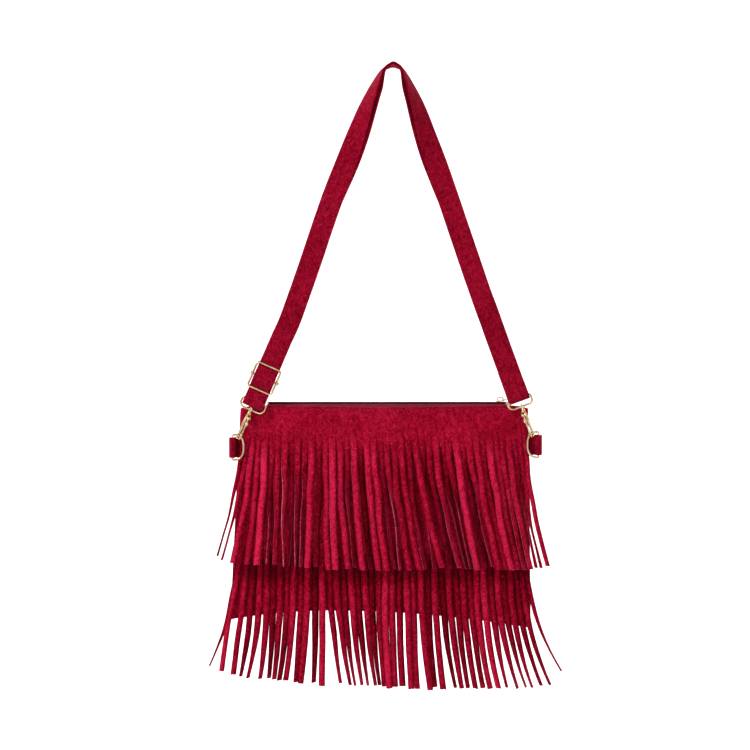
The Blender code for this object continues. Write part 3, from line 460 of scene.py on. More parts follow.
# Fringes
# One line for each strip, from left to right: where its tip hangs in the photograph (x, y), how wide
# it looks there in pixels, how far forward it hangs (0 to 3), and to which side it is turned.

UPPER_STRIPS = (
    (217.5, 556, 1.5, 0, -1), (222, 560, 2.2, 1, -1), (233, 562.6, 7, 2, 1), (247.3, 563.5, 6, 1, 1),
    (257, 564, 7, 3, -1), (267, 563.5, 2.6, 0, 1), (275.5, 564, 4.4, 1, 1), (284, 565.5, 2.2, 2, 1),
    (289.5, 565, 3, 0, -1), (295.5, 566, 2.6, 1, 1), (301, 566, 2.8, 0, 1), (307.8, 566.5, 7, 3, -1),
    (316.5, 566, 5, 0, 1), (329, 568.5, 6.8, 2, 1), (335.9, 568.5, 6.8, 3, -1), (348.5, 568, 6, 1, 1),
    (355, 567, 2.6, 0, 1), (362.8, 568.5, 7, 3, -1), (371.5, 568, 5, 0, 1), (379, 569, 6.8, 2, 1),
    (387, 569, 6.5, 3, -1), (394.5, 568, 4, 0, 1), (400.5, 569, 3, 1, 1), (409.5, 569, 6.8, 2, 1),
    (419.5, 569, 6.8, 1, -1), (425.5, 568.5, 4.5, 0, 1), (442, 566.5, 7, 3, 1), (435, 568, 3.4, 0, 1),
    (450.5, 568, 4.2, 0, -1), (459, 566.5, 4.6, 2, 1), (466.5, 568, 3.4, 0, 1), (471, 568, 3, 1, 1),
    (477, 568.5, 6.2, 3, 1), (484.5, 567, 3.2, 0, -1), (491.5, 565, 3, 2, 1), (498.3, 568.5, 6.6, 3, -1),
    (504.9, 568.8, 6.4, 2, 1), (511.2, 569, 6.6, 3, 1), (518, 569, 6.4, 1, 1), (524.5, 569, 5, 2, 1),
    (530, 568.5, 4.4, 3, 1), (536, 568, 2.4, 0, 1), (541, 568, 2.4, 0, 1), (548, 566, 7, 1, -1))

LOWER_STRIPS = (
    (209, 667, 1.3, 0, -1), (221.5, 671.5, 6.8, 2, -1), (233, 675, 5.8, 1, 1), (240.3, 677, 3.4, 0, 1),
    (247.5, 678, 4, 1, 1), (260, 679, 4, 1, 1), (268.8, 678.5, 4, 0, 1),
    (274, 679, 4, 1, 1), (279, 680.5, 4.2, 0, 1), (285.5, 680, 5, 1, 1), (296, 682, 5.6, 0, 1),
    (301, 683, 5.6, 2, -1), (313.5, 682.5, 4.4, 0, 1), (322, 685, 7, 2, -1), (340.5, 683, 3.2, 0, 1),
    (350.3, 684.5, 2.8, 1, 1), (355.2, 685.5, 2.8, 0, 1), (362, 684.5, 2.6, 1, 1), (368, 685.5, 3.2, 0, 1),
    (375.5, 685, 3.2, 1, 1), (379.5, 685, 3.2, 0, 1), (384, 686, 4, 1, 1), (389.5, 687.5, 5.8, 2, -1),
    (395, 686, 5.6, 1, 1), (402.5, 686, 6.2, 0, 1), (411, 688, 5.6, 2, 1), (417.5, 688.5, 5.2, 1, -1),
    (430, 689, 5.6, 2, 1), (434.8, 687, 5, 0, 1), (443, 688.5, 6.6, 2, 1), (455.3, 687.5, 3, 0, 1),
    (461.5, 688, 5, 1, 1), (468, 688, 4.2, 0, 1), (475.5, 688, 5, 1, -1), (483, 688, 4.6, 0, 1),
    (490, 688.5, 5.2, 1, 1), (498.5, 688, 5.2, 2, -1), (506.8, 688, 2.8, 0, 1), (517.5, 688.5, 3.2, 1, 1),
    (526.3, 688, 2.2, 0, 1), (532.3, 688, 2.8, 1, 1), (541.5, 686.5, 3.2, 0, 1), (550.5, 685.5, 3.4, 1, 1),
    (562, 672, 1.4, 0, 1))

STRIP_ROWS = 30
STRIP_COLUMNS = 4
BAND_ROWS = 10
CAMERA_AWAY = 1.9
PAINTED_SHADE_ACROSS = (-0.5, 0.35, 0.25, -0.25, -1.5)     # painted light and shade across a strip, left to right: darker at both edges, darkest at the right edge, as if lit from the left
PAINTED_SHADOW_BAND = (472 * MM, 490 * MM)                   # painted shadow on the lower strips where they come out from under the upper ones: full above the first depth, gone below the second


def crowd(s):
    """Strips near the sides sit closer together, where the bag turns away."""
    return s + 0.05 * s * (1 - s ** 8)


def fringe_depth(u, v):
    return inner_depth(u, min(v, BELLY_AT)) + SUEDE


def skin_point(u, z, extra):
    """A point of the fringe at the share u across and the height z."""
    v = share(-z, -top_edge(u), -bottom_edge(u))
    return Vector((bag_middle(v) + u * bag_half(v), -(fringe_depth(u, v) + extra), z))


def turn_for(wide, full, thick):
    """Angle at which a strip of this width and thickness looks as wide as it does in the photograph."""
    best = min(range(0, 86), key=lambda a: abs(full * cos(radians(a)) + thick * sin(radians(a)) * 0.6 - wide))
    return radians(best)


def make_fringe(name, strips, drop, band, base, spread, over, bends, turns, sway, unshaded_layer, painted_shadow):
    bm = bmesh.new()
    # per-vertex "nap" tone, which also holds painted shade and painted shadow
    nap = bm.verts.layers.float.new("nap")
    count = len(strips)
    span = 0.985
    lines = [[] for _ in range(count * STRIP_COLUMNS + 1)]
    shares = []
    for k in range(count * STRIP_COLUMNS + 1):
        shares.append(crowd(2 * k / (count * STRIP_COLUMNS) - 1) * span)
    for j in range(BAND_ROWS + 1):
        t = j / BAND_ROWS
        for k, u in enumerate(shares):
            start = chance(k // STRIP_COLUMNS, 21) + chance((k - 1) // STRIP_COLUMNS, 21)
            z = top_edge(u) - drop - band * t * (1 - 0.07 * start)
            ripple = 0.9 * MM * noise.noise(Vector((u * 8, t * 1.6, drop * 30))) * (0.2 + t)
            pleat = 0.8 * MM * t ** 2 * abs(cos(pi * (k % STRIP_COLUMNS - STRIP_COLUMNS / 2) / STRIP_COLUMNS)) - 0.3 * MM
            lines[k].append(bm.verts.new(skin_point(u, z, base + ripple + pleat)))
    for a, b in zip(lines, lines[1:]):
        for j in range(BAND_ROWS):
            bm.faces.new((a[j], a[j + 1], b[j + 1], b[j]))
    for i, (tip_x, tip_y, wide, layer, turn) in enumerate(strips):
        row = [lines[i * STRIP_COLUMNS + c][-1] for c in range(STRIP_COLUMNS + 1)]
        first = [v.co.copy() for v in row]
        root = first[STRIP_COLUMNS // 2]
        full = (first[-1] - first[0]).length
        end_x, end_z = px(tip_x, tip_y)
        # seen in perspective, a strip in front of the bag's plane hangs a little nearer the middle
        limit = turn_for(wide * 1.15 * PX, min(full, 6.3 * MM), SUEDE) * turn
        wave = 1.3 * MM * chance(i, spread)
        swing = bends[min(i, len(bends) - 1)]
        for j in range(1, STRIP_ROWS + 1):
            t = j / STRIP_ROWS
            z = root.z + (end_z - root.z) * t
            v = share(-z, -TOP_Z, -TOP_Z + BODY_HEIGHT)
            u = shares[i * STRIP_COLUMNS + STRIP_COLUMNS // 2]
            straight = skin_point(u, z, base)
            kink = noise.noise(Vector((i * 7.3 + spread, t * 3.4, 0)))
            x = root.x + (end_x - root.x) * t ** swing + wave * sin(pi * t) * t
            x += sway * MM * kink * sin(pi * min(1.0, t * 1.15))
            forward = (layer * 2.3 * MM + 0.6 * MM) * ease(share(t, 0.0, 0.35)) + over * ease(share(t, 0.2, 0.75))
            forward += 1.1 * MM * sin(pi * t) * (0.6 + 0.6 * noise.noise(Vector((i * 3.7, t * 2.6, spread + 5))))
            y = straight.y - forward
            angle = limit * ease(share(t, turns[0] + 0.1 * chance(i, 3), turns[1]))
            angle += radians(15 * sway) * noise.noise(Vector((i * 5.1, t * 2.4, spread + 2))) * ease(share(t, 0, 0.25))
            half = min(full, 6.3 * MM) / 2 * (1 - 0.05 * t)
            half = full / 2 * (1 - share(t, 0, 0.12)) * 0.985 + half * share(t, 0, 0.12)
            across = Vector((cos(angle), sin(angle), 0))
            facing = Vector((sin(angle), -cos(angle), 0))
            cup = 1.0 * MM * (0.75 + 0.6 * chance(i, spread + 9))
            new_row = []
            for c in range(STRIP_COLUMNS + 1):
                s = 2 * c / STRIP_COLUMNS - 1
                fray = 0.1 * MM * noise.noise(Vector((i * 3.1 + s, t * 40, drop * 70)))
                place = Vector((x, y, z)) + across * (half * s + fray * abs(s)) + facing * cup * (1 - s * s)
                place.z += 0.35 * MM * chance(i, c) * t if j == STRIP_ROWS else 0.0
                vert = bm.verts.new(place)
                # random nap tone plus painted shade: strips further back darker, painted light and shade across each
                # strip, and painted shadow under the upper strips' tips
                nap_and_shade = 0.45 * chance(i, spread + 14) + 0.62 * (layer - unshaded_layer) / 1.7 + PAINTED_SHADE_ACROSS[c]
                nap_and_shade += 0.5 * noise.noise(Vector((i * 2.9, t * 3.2, spread)))
                nap_and_shade -= painted_shadow * (1 - ease(share(-z, *PAINTED_SHADOW_BAND)))
                vert[nap] = nap_and_shade * ease(share(t, 0, 0.22))
                new_row.append(vert)
            for c in range(STRIP_COLUMNS):
                bm.faces.new((row[c], new_row[c], new_row[c + 1], row[c + 1]))
            row = new_row
    obj = finish_mesh(name, bm, SUEDE_RED, CUT_EDGE)
    solid = obj.modifiers.new("thickness", "SOLIDIFY")
    solid.thickness = SUEDE
    solid.offset = 0.0
    solid.material_offset_rim = 1
    edge = obj.modifiers.new("soft_edges", "BEVEL")
    edge.width = 0.28 * MM
    edge.segments = 2
    edge.limit_method = "ANGLE"
    edge.angle_limit = radians(50)
    settle(obj)
    obj.data.set_sharp_from_angle(angle=radians(70))
    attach(obj, "bag")
    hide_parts(name.replace("_strips", ""))
    return obj


upper = make_fringe("upper_fringe_strips", UPPER_STRIPS, 0.0, UPPER_BAND, SUEDE / 2 + GAP * 2, 3, 5.2 * MM, (1.5,), (0.1, 0.75), 2.4, 1.3, 0.0)
lower = make_fringe("lower_fringe_strips", LOWER_STRIPS, LOWER_DROP, LOWER_BAND, SUEDE / 2 + GAP, 11, 0.0, (1.9, 1.0, 1.3, 1.8, 2.4),
                    (0.4, 1.0), 1.0, 1.5, 0.9)


# What repeats along a line: stitches and the turns of the zip's coils

def make_row_tree():
    """Geometry Nodes: rounded bodies of a given size, one every pitch along a line."""
    tree = bpy.data.node_groups.new("row_along_line", "GeometryNodeTree")
    face = tree.interface
    face.new_socket("Geometry", in_out="INPUT", socket_type="NodeSocketGeometry")
    face.new_socket("Pitch", in_out="INPUT", socket_type="NodeSocketFloat")
    face.new_socket("Size", in_out="INPUT", socket_type="NodeSocketVector")
    face.new_socket("Lean", in_out="INPUT", socket_type="NodeSocketVector")
    face.new_socket("Material", in_out="INPUT", socket_type="NodeSocketMaterial")
    face.new_socket("Geometry", in_out="OUTPUT", socket_type="NodeSocketGeometry")

    def node(kind, **settings):
        made = tree.nodes.new(kind)
        for key, value in settings.items():
            setattr(made, key, value)
        return made

    given, result = node("NodeGroupInput"), node("NodeGroupOutput")
    line = node("GeometryNodeMeshToCurve")
    even = node("GeometryNodeResampleCurve", mode="LENGTH")
    ball = node("GeometryNodeMeshUVSphere")
    ball.inputs["Segments"].default_value = 10
    ball.inputs["Rings"].default_value = 6
    ball.inputs["Radius"].default_value = 0.5
    shaped = node("GeometryNodeTransform")
    tangent = node("GeometryNodeInputTangent")
    aim = node("FunctionNodeAlignRotationToVector", axis="X")
    place = node("GeometryNodeInstanceOnPoints")
    real = node("GeometryNodeRealizeInstances")
    smooth = node("GeometryNodeSetShadeSmooth")
    paint = node("GeometryNodeSetMaterial")
    for start, out, end, into in (
            (given, "Geometry", line, "Mesh"), (line, "Curve", even, "Curve"), (given, "Pitch", even, "Length"),
            (ball, "Mesh", shaped, "Geometry"), (given, "Size", shaped, "Scale"), (given, "Lean", shaped, "Rotation"),
            (even, "Curve", place, "Points"), (shaped, "Geometry", place, "Instance"),
            (tangent, "Tangent", aim, "Vector"), (aim, "Rotation", place, "Rotation"),
            (place, "Instances", real, "Geometry"), (real, "Geometry", smooth, "Geometry"),
            (smooth, "Geometry", paint, "Geometry"), (given, "Material", paint, "Material"),
            (paint, "Geometry", result, "Geometry")):
        tree.links.new(start.outputs[out], end.inputs[into])
    return tree


ROW_TREE = make_row_tree()


def row_along(name, lines, pitch, size, mat, body, lean=(0.0, 0.0, 0.0)):
    """Stitches or coil turns along one or more lines, as one plain mesh."""
    bm = bmesh.new()
    for points in lines:
        verts = [bm.verts.new(p) for p in points]
        for a, b in zip(verts, verts[1:]):
            bm.edges.new((a, b))
    obj = finish_mesh(name, bm, mat)
    row = obj.modifiers.new("row", "NODES")
    row.node_group = ROW_TREE
    sockets = {item.name: item.identifier for item in ROW_TREE.interface.items_tree if item.in_out == "INPUT"}
    row[sockets["Pitch"]] = pitch
    row[sockets["Size"]] = size
    row[sockets["Lean"]] = lean
    row[sockets["Material"]] = mat
    obj.update_tag()
    settle(obj)
    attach(obj, body)
    return obj


# The sewn body

PANEL_COLUMNS, PANEL_ROWS = 72, 40
FOLDS = ((-0.55, 0.30, 0.16, 0.9), (0.2, 0.42, 0.22, -0.8), (0.62, 0.25, 0.14, 0.8), (-0.15, 0.7, 0.2, 0.7),
         (-0.8, 0.75, 0.12, -0.6), (0.78, 0.72, 0.15, 0.7))


def seam_pinch(u, z):
    """How far a panel's edge closes on the other panel's, above and below the tab sewn between them."""
    offset = abs(z - TAB_MIDDLE["left" if u < 0 else "right"]) - TAB_HALF
    return tab_room(u, z) * ease(share(abs(u), 0.972, 0.996)) * ease(share(offset, 0.0, 7 * MM))


def panel_depth(u, v, facing):
    """Inside of a panel, with the soft dents of a bag that holds little."""
    soft = noise.noise(Vector((u * 3.1, v * 2.2, facing * 4.0))) * 1.3 * MM
    for at_u, at_v, wide, deep in FOLDS if facing > 0 else ():
        away = ((u - at_u) / wide) ** 2 + ((v - at_v) / (wide * 1.8)) ** 2
        soft += deep * MM * max(0.0, 1 - away) ** 2
    calm = ease(share(v, 0.0, 0.12)) * ease(share(1 - v, 0.0, 0.12)) * ease(share(1 - abs(u), 0.0, 0.1))
    z = top_edge(u) + (bottom_edge(u) - top_edge(u)) * v
    return inner_depth(u, v) - seam_pinch(u, z) + soft * calm * (0.35 if facing < 0 else 1.0)


def make_panels():
    for name, facing in (("front_panel", -1), ("back_panel", 1)):
        bm = bmesh.new()
        rows = []
        for j in range(PANEL_ROWS + 1):
            v = j / PANEL_ROWS
            rows.append([])
            for i in range(PANEL_COLUMNS + 1):
                u = sin(pi / 2 * (2 * i / PANEL_COLUMNS - 1)) * 0.35 + (2 * i / PANEL_COLUMNS - 1) * 0.65
                z = top_edge(u) + (bottom_edge(u) - top_edge(u)) * v
                rows[-1].append(bm.verts.new((bag_middle(v) + u * bag_half(v), facing * panel_depth(u, v, facing), z)))
        for a, b in zip(rows, rows[1:]):
            for k in range(PANEL_COLUMNS):
                quad = (a[k], b[k], b[k + 1], a[k + 1])
                bm.faces.new(quad if facing < 0 else quad[::-1])
        obj = finish_mesh(name + "_suede", bm, SUEDE_RED, CUT_EDGE)
        solid = obj.modifiers.new("thickness", "SOLIDIFY")
        solid.thickness = SUEDE
        solid.offset = 1.0
        solid.use_even_offset = True
        solid.material_offset_rim = 1
        edge = obj.modifiers.new("soft_edges", "BEVEL")
        edge.width = 0.4 * MM
        edge.segments = 3
        edge.limit_method = "ANGLE"
        edge.angle_limit = radians(50)
        settle(obj)
        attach(obj, "bag")
        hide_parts(name)


def stitch_lines():
    """The seams that show: along the mouth, and round the back panel's sides and bottom."""
    front, back, around = [], [], []
    for k in range(161):
        u = 1.84 * k / 160 - 0.895
        z = top_edge(u) - 3.0 * MM
        front.append(skin_point(u, z, SUEDE + GAP * 2 + 0.05 * MM))
        v = share(-z, -top_edge(u), -bottom_edge(u))
        back.append(Vector((bag_middle(v) + u * bag_half(v), panel_depth(u, v, 1) + SUEDE + 0.05 * MM, z)))
    for k in range(241):
        if k < 80:
            u, v = -0.972, 0.05 + 0.915 * k / 80
        elif k < 161:
            u, v = -0.972 + 1.944 * (k - 80) / 80, 0.965
        else:
            u, v = 0.972, 0.965 - 0.915 * (k - 160) / 80
        z = top_edge(u) + (bottom_edge(u) - top_edge(u)) * v
        around.append(Vector((bag_middle(v) + u * bag_half(v), panel_depth(u, v, 1) + SUEDE + 0.05 * MM, z)))
    stitch = (2.5 * MM, 0.62 * MM, 0.62 * MM)
    row_along("mouth_stitches_front", [front], 3.9 * MM, stitch, THREAD, "bag")
    row_along("mouth_stitches_back", [back], 3.9 * MM, stitch, THREAD, "bag")
    row_along("seam_stitches_back", [around], 3.9 * MM, stitch, THREAD, "bag")


make_panels()
stitch_lines()


# The strap

STRAP_WIDE, STRAP_THICK, STRAP_THICK_TOP, TWIST_LENGTH = 20.3 * MM, 2.4 * MM, 3.4 * MM, 135.0 * MM
STRAP_LOOP, REST_FLAT, HARDWARE_Y, WIRE, EYE_RISE = 2.0 * MM, 3.0 * MM, -11.8 * MM, 1.0 * MM, 10.5 * MM
ADJUSTER_UP, FRAME_HALF_WIDE, FRAME_HALF_TALL = 23.5 * MM, 11.9 * MM, 12.0 * MM
BAR_RADIUS, BAR_KNOB, FRAME_FRONT, BAR_FRONT = 1.0 * MM, 1.7 * MM, 3.0 * MM, 0.5 * MM
LAYER_THICK = 1.17 * MM
SIDES = {
    "left": {"swivel": (-133.5 * MM, -323.0 * MM), "sign": -1, "slant": radians(23.5)},
    "right": {"swivel": (119.9 * MM, -320.0 * MM), "sign": 1, "slant": radians(20.0)},
}
LEGS = {
    "left": (((-7.4, -1.4), (-12.9, -9.8), (-23.1, -33.0), (-36.5, -70.2), (-57.7, -126.0), (-76.0, -180.0)), 62 * MM),
    "right": (((6.9, -1.4), (11.6, -9.8), (20.9, -33.0), (32.8, -70.2), (44.2, -103.2), (75.3, -195.8)), 48 * MM),
}


def clasp_frame(side):
    """Origin at the swivel; inboard, front and down axes of a clasp."""
    (x, z), sign, slant = (SIDES[side][key] for key in ("swivel", "sign", "slant"))
    down = Vector((sign * sin(slant), 0, -cos(slant)))
    return Vector((x, HARDWARE_Y, z)), Vector((-sign * cos(slant), 0, -sin(slant))), -Y, down


def strap_end_axes(side):
    sign, slant = SIDES[side]["sign"], SIDES[side]["slant"]
    origin, _, _, down = clasp_frame(side)
    return origin - down * EYE_RISE, Vector((cos(slant), 0, sign * sin(slant))), -Y, -down


def fold_points(radius, centre_up, steps=16):
    return [(centre_up - radius * sin(pi * k / steps), radius * cos(pi * k / steps)) for k in range(steps + 1)]


def left_end():
    """(up, front) pairs from the straight run down to the end round the adjuster's bar."""
    half = STRAP_THICK / 2
    wrap = BAR_RADIUS + GAP + half
    over = BAR_FRONT + wrap + STRAP_THICK + GAP
    pairs = [(62 * MM, BAR_FRONT), (50 * MM, BAR_FRONT), (42 * MM, BAR_FRONT)]
    for k in range(25):
        up = ADJUSTER_UP + FRAME_HALF_TALL * (1 - k / 12)
        rise = 0.5 + 0.5 * cos(pi * (up - ADJUSTER_UP) / FRAME_HALF_TALL)
        pairs.append((up, BAR_FRONT + (over - BAR_FRONT) * rise))
    fold = STRAP_LOOP + half
    centre_up = STRAP_LOOP - WIRE - GAP - 2.2 * MM
    for k in range(1, 8):
        t = k / 8
        up = (ADJUSTER_UP - FRAME_HALF_TALL) * (1 - t) + centre_up * t
        pairs.append((up, BAR_FRONT + (fold - BAR_FRONT) * ease(t)))
    pairs += fold_points(fold, centre_up)
    back = BAR_FRONT - wrap
    for k in range(1, 10):
        t = k / 10.5
        pairs.append((centre_up + (ADJUSTER_UP - centre_up) * t, -fold + (back + fold) * ease(t)))
    for k in range(25):
        a = radians(262) * k / 24
        pairs.append((ADJUSTER_UP + wrap * sin(a), BAR_FRONT - wrap * cos(a)))
    return pairs


def right_end():
    """(up, front) pairs down the front, round the eye's bar and up the back to the sewn end."""
    half = STRAP_THICK / 2
    together = half + GAP / 2
    fold = STRAP_LOOP + half
    centre_up = STRAP_LOOP - WIRE - GAP
    pairs = [(up * MM, together) for up in (48, 38, 30, 20)]
    for k in range(1, 8):
        t = k / 8
        pairs.append((12 * MM * (1 - t) + centre_up * t, together + (fold - together) * ease(t)))
    pairs += fold_points(fold, centre_up)
    for k in range(1, 8):
        t = k / 8
        pairs.append((centre_up * (1 - t) + 12 * MM * t, -fold + (fold - together) * ease(t)))
    return pairs + [(up * MM, -together) for up in (12, 20, 28)]


def leg_stations(side):
    """(middle, across, outward, thickness) down one leg, turning from lying flat to facing the front."""
    points, straight = LEGS[side]
    sign = SIDES[side]["sign"]
    origin, _, front, up = strap_end_axes(side)
    offset = BAR_FRONT if side == "left" else (STRAP_THICK + GAP) / 2
    end = origin + up * straight + front * offset
    near = origin + up * (straight + 26 * MM) + front * offset
    rest_z = STRAP_THICK_TOP / 2
    route = [Vector((0, 0, rest_z))] + [Vector((x * MM, end.y * share(-z * MM, 0.0, -end.z), z * MM)) for x, z in points]
    middle = [Vector((sign * REST_FLAT / 2, 0, rest_z)), *smooth_path(route + [near, end], 8)[4:]]
    stations, travelled = [], 0.0
    for k, p in enumerate(middle):
        travelled += (p - middle[k - 1]).length if k else 0.0
        ahead = (middle[min(k + 1, len(middle) - 1)] - middle[max(k - 1, 0)]).normalized() if k else X * sign
        turned = share(travelled, 0.0, TWIST_LENGTH)
        angle = pi / 2 * (0.55 * sin(pi / 2 * turned) + 0.45 * turned)
        outward = (Y.cross(ahead) * -sign).normalized()
        edge = (-Y + ahead * ahead.dot(Y)).normalized()
        normal = outward * cos(angle) + edge * sin(angle)
        thick = STRAP_THICK_TOP + (STRAP_THICK - STRAP_THICK_TOP) * ease(turned)
        stations.append((p, normal.cross(ahead), normal, thick))
    return stations


def end_stations(side):
    origin, across, front, up = strap_end_axes(side)
    pairs = left_end() if side == "left" else right_end()
    stations = []
    for (u0, f0), (u, f), (u1, f1) in zip(pairs, pairs[1:], pairs[2:] + pairs[-1:]):
        travel = (up * (u1 - u0) + front * (f1 - f0)).normalized()
        stations.append((origin + up * u + front * f, across, across.cross(travel), STRAP_THICK))
    return stations


def steady(direction, last):
    return -direction if last and direction.dot(last) < 0 else direction


def band_section(centre, across, normal, half, thick):
    """A flat band's section with rounded edges."""
    b = thick / 2
    outline = [(half, 0), (half - 0.25 * b, 0.7 * b), (half - b, b), (half * 0.5, b), (0, b), (-half * 0.5, b),
               (b - half, b), (0.25 * b - half, 0.7 * b), (-half, 0), (0.25 * b - half, -0.7 * b), (b - half, -b),
               (-half * 0.5, -b), (0, -b), (half * 0.5, -b), (half - b, -b), (half - 0.25 * b, -0.7 * b)]
    return [centre + across * s + normal * d for s, d in outline]


def layer_slip(p):
    """How far the inner layer has slipped inwards along the legs, where the strap is bent over at the top."""
    along = ease(share(-p.z, 2 * MM, 22 * MM)) * (1 - ease(share(-p.z, 80 * MM, 140 * MM)))
    return Vector((-3.0 * MM * along * (1 if p.x > 0 else -1), 0, 0))


def make_strap():
    """Two layers of suede on a narrower core; the inner one shows a little along the edges."""
    ordered = (leg_stations("right") + end_stations("right"))[::-1] + leg_stations("left") + end_stations("left")
    bm = bmesh.new()
    for way, trim in ((-1, 0.0), (1, 0.35 * MM), (0, 3.0 * MM)):
        rings, across, normal, travelled, before = [], None, None, 0.0, None
        for p, new_across, new_normal, thick in ordered:
            across, normal = steady(new_across, across), steady(new_normal, normal)
            travelled += (p - before).length if before else 0.0
            before = p
            wobble = 0.22 * MM * noise.noise(Vector((travelled * 45, way * 3, 0)))
            shift = 0.2 * MM * noise.noise(Vector((travelled * 30, way * 3, 9)))
            slip = layer_slip(p) * (1 + way) / 2
            centre = p + normal * way * (thick - LAYER_THICK) / 2 + across * shift + slip
            half, deep = STRAP_WIDE / 2 - trim + wobble, LAYER_THICK
            if way == 0:
                half, deep = half - abs(slip.dot(across)), thick - LAYER_THICK + 2 * abs(slip.dot(normal))
            rings.append(band_section(centre, across, normal, half, deep))
        add_rings(bm, rings)
    bmesh.ops.recalc_face_normals(bm, faces=bm.faces)
    obj = finish_mesh("strap_suede", bm, SUEDE_DARK, angle=60)
    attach(obj, "strap")
    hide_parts("strap")


make_strap()


# Metal parts

EYE_HALF, EYE_FOOT, EYE_BAR_CORNER, EYE_FOOT_CORNER = 11.7 * MM, 2.0 * MM, 1.5 * MM, 4.5 * MM
BOSS_RADIUS, BOSS_RISE, STEM_RADIUS, STEM_HEAD = 2.0 * MM, 1.4 * MM, 0.8 * MM, 0.7 * MM
HOOK_LONG, HOOK_HALF, HOOK_WIRE, HOOK_TURN, NOSE_LONG = 29.0 * MM, 3.8 * MM, 1.25 * MM, radians(66), 2.4 * MM
GATE_PIN_DOWN, GATE_PIN_ACROSS, GATE_HALF_THICK, GATE_WIRE = 6.2 * MM, 2.9 * MM, 0.8 * MM, 0.75 * MM
EAR_THICK, EAR_RADIUS, GATE_PIN_RADIUS, GATE_EYE_RADIUS = 0.7 * MM, 1.4 * MM, 0.5 * MM, 1.3 * MM
RING_HALF, RING_DEEP, RING_POWER, RING_HOLD, HOLD_GAP = 11.9 * MM, 10.2 * MM, 2.6, 6.4 * MM, 0.8 * MM


def hold_point(side):
    origin, _, _, down = clasp_frame(side)
    return origin + down * (HOOK_LONG - 2 * HOOK_WIRE - HOLD_GAP - WIRE)


def ring_middle(side):
    bow = RING_HALF * (1 - (RING_HOLD / RING_DEEP) ** RING_POWER) ** (1 / RING_POWER)
    return hold_point(side) + Vector((SIDES[side]["sign"] * RING_HOLD, 0, -bow))


def hook_axes(side):
    origin, inboard, front, down = clasp_frame(side)
    across = inboard * cos(HOOK_TURN) + front * sin(HOOK_TURN)
    return origin, across, across.cross(down), down


def metal_piece(name, bm, node, body, angle=38):
    bmesh.ops.recalc_face_normals(bm, faces=bm.faces)
    obj = finish_mesh(name, bm, PALE_GOLD, angle=angle)
    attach(obj, body)
    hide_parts(node)
    return obj


def make_ring(side):
    sign, middle = SIDES[side]["sign"], ring_middle(side)
    points = []
    for k in range(41):
        a = pi / 2 - pi * k / 40
        out = RING_DEEP * abs(cos(a)) ** (2 / RING_POWER)
        up = RING_HALF * abs(sin(a)) ** (2 / RING_POWER) * (1 if a > 0 else -1)
        points.append(middle + Vector((-sign * out, 0, up)))
    for k in range(1, 8):
        points.append(middle + Vector((sign * 0.2 * MM, 0, (RING_HALF - 0.9 * MM) * (2 * k / 8 - 1))))
    bm = bmesh.new()
    add_rod(bm, points, WIRE, 18, closed=True)
    metal_piece("d_ring_%s_wire" % side, bm, "d_ring_" + side, "d_ring_%s_body" % side)


def make_clasp_eye(side):
    origin, inboard, front, down = clasp_frame(side)
    low, high = -EYE_FOOT, -EYE_RISE
    points = []
    for way, edge, corner, start in ((1, low, EYE_FOOT_CORNER, 90), (1, high, EYE_BAR_CORNER, 0),
                                     (-1, high, EYE_BAR_CORNER, -90), (-1, low, EYE_FOOT_CORNER, 180)):
        inset = -corner if edge == low else corner
        for k in range(11):
            a = radians(start - 90 * k / 10)
            points.append(origin + inboard * (way * (EYE_HALF - corner) + corner * cos(a))
                          + down * (edge + inset + corner * sin(a)))
    bm = bmesh.new()
    add_rod(bm, points, WIRE, 18, closed=True)
    top, foot = -EYE_FOOT - BOSS_RISE, -GAP
    add_turned(bm, origin, down, ((top, STEM_RADIUS), (top, 1.5 * MM), (top + 0.3 * MM, 1.85 * MM),
                                  (top + 0.7 * MM, BOSS_RADIUS), (foot - 0.7 * MM, BOSS_RADIUS),
                                  (foot - 0.3 * MM, 1.85 * MM), (foot, 1.5 * MM), (foot, STEM_RADIUS)), bored=True)
    metal_piece("clasp_eye_%s_wire" % side, bm, "clasp_eye_" + side, "clasp_eye_%s_body" % side)


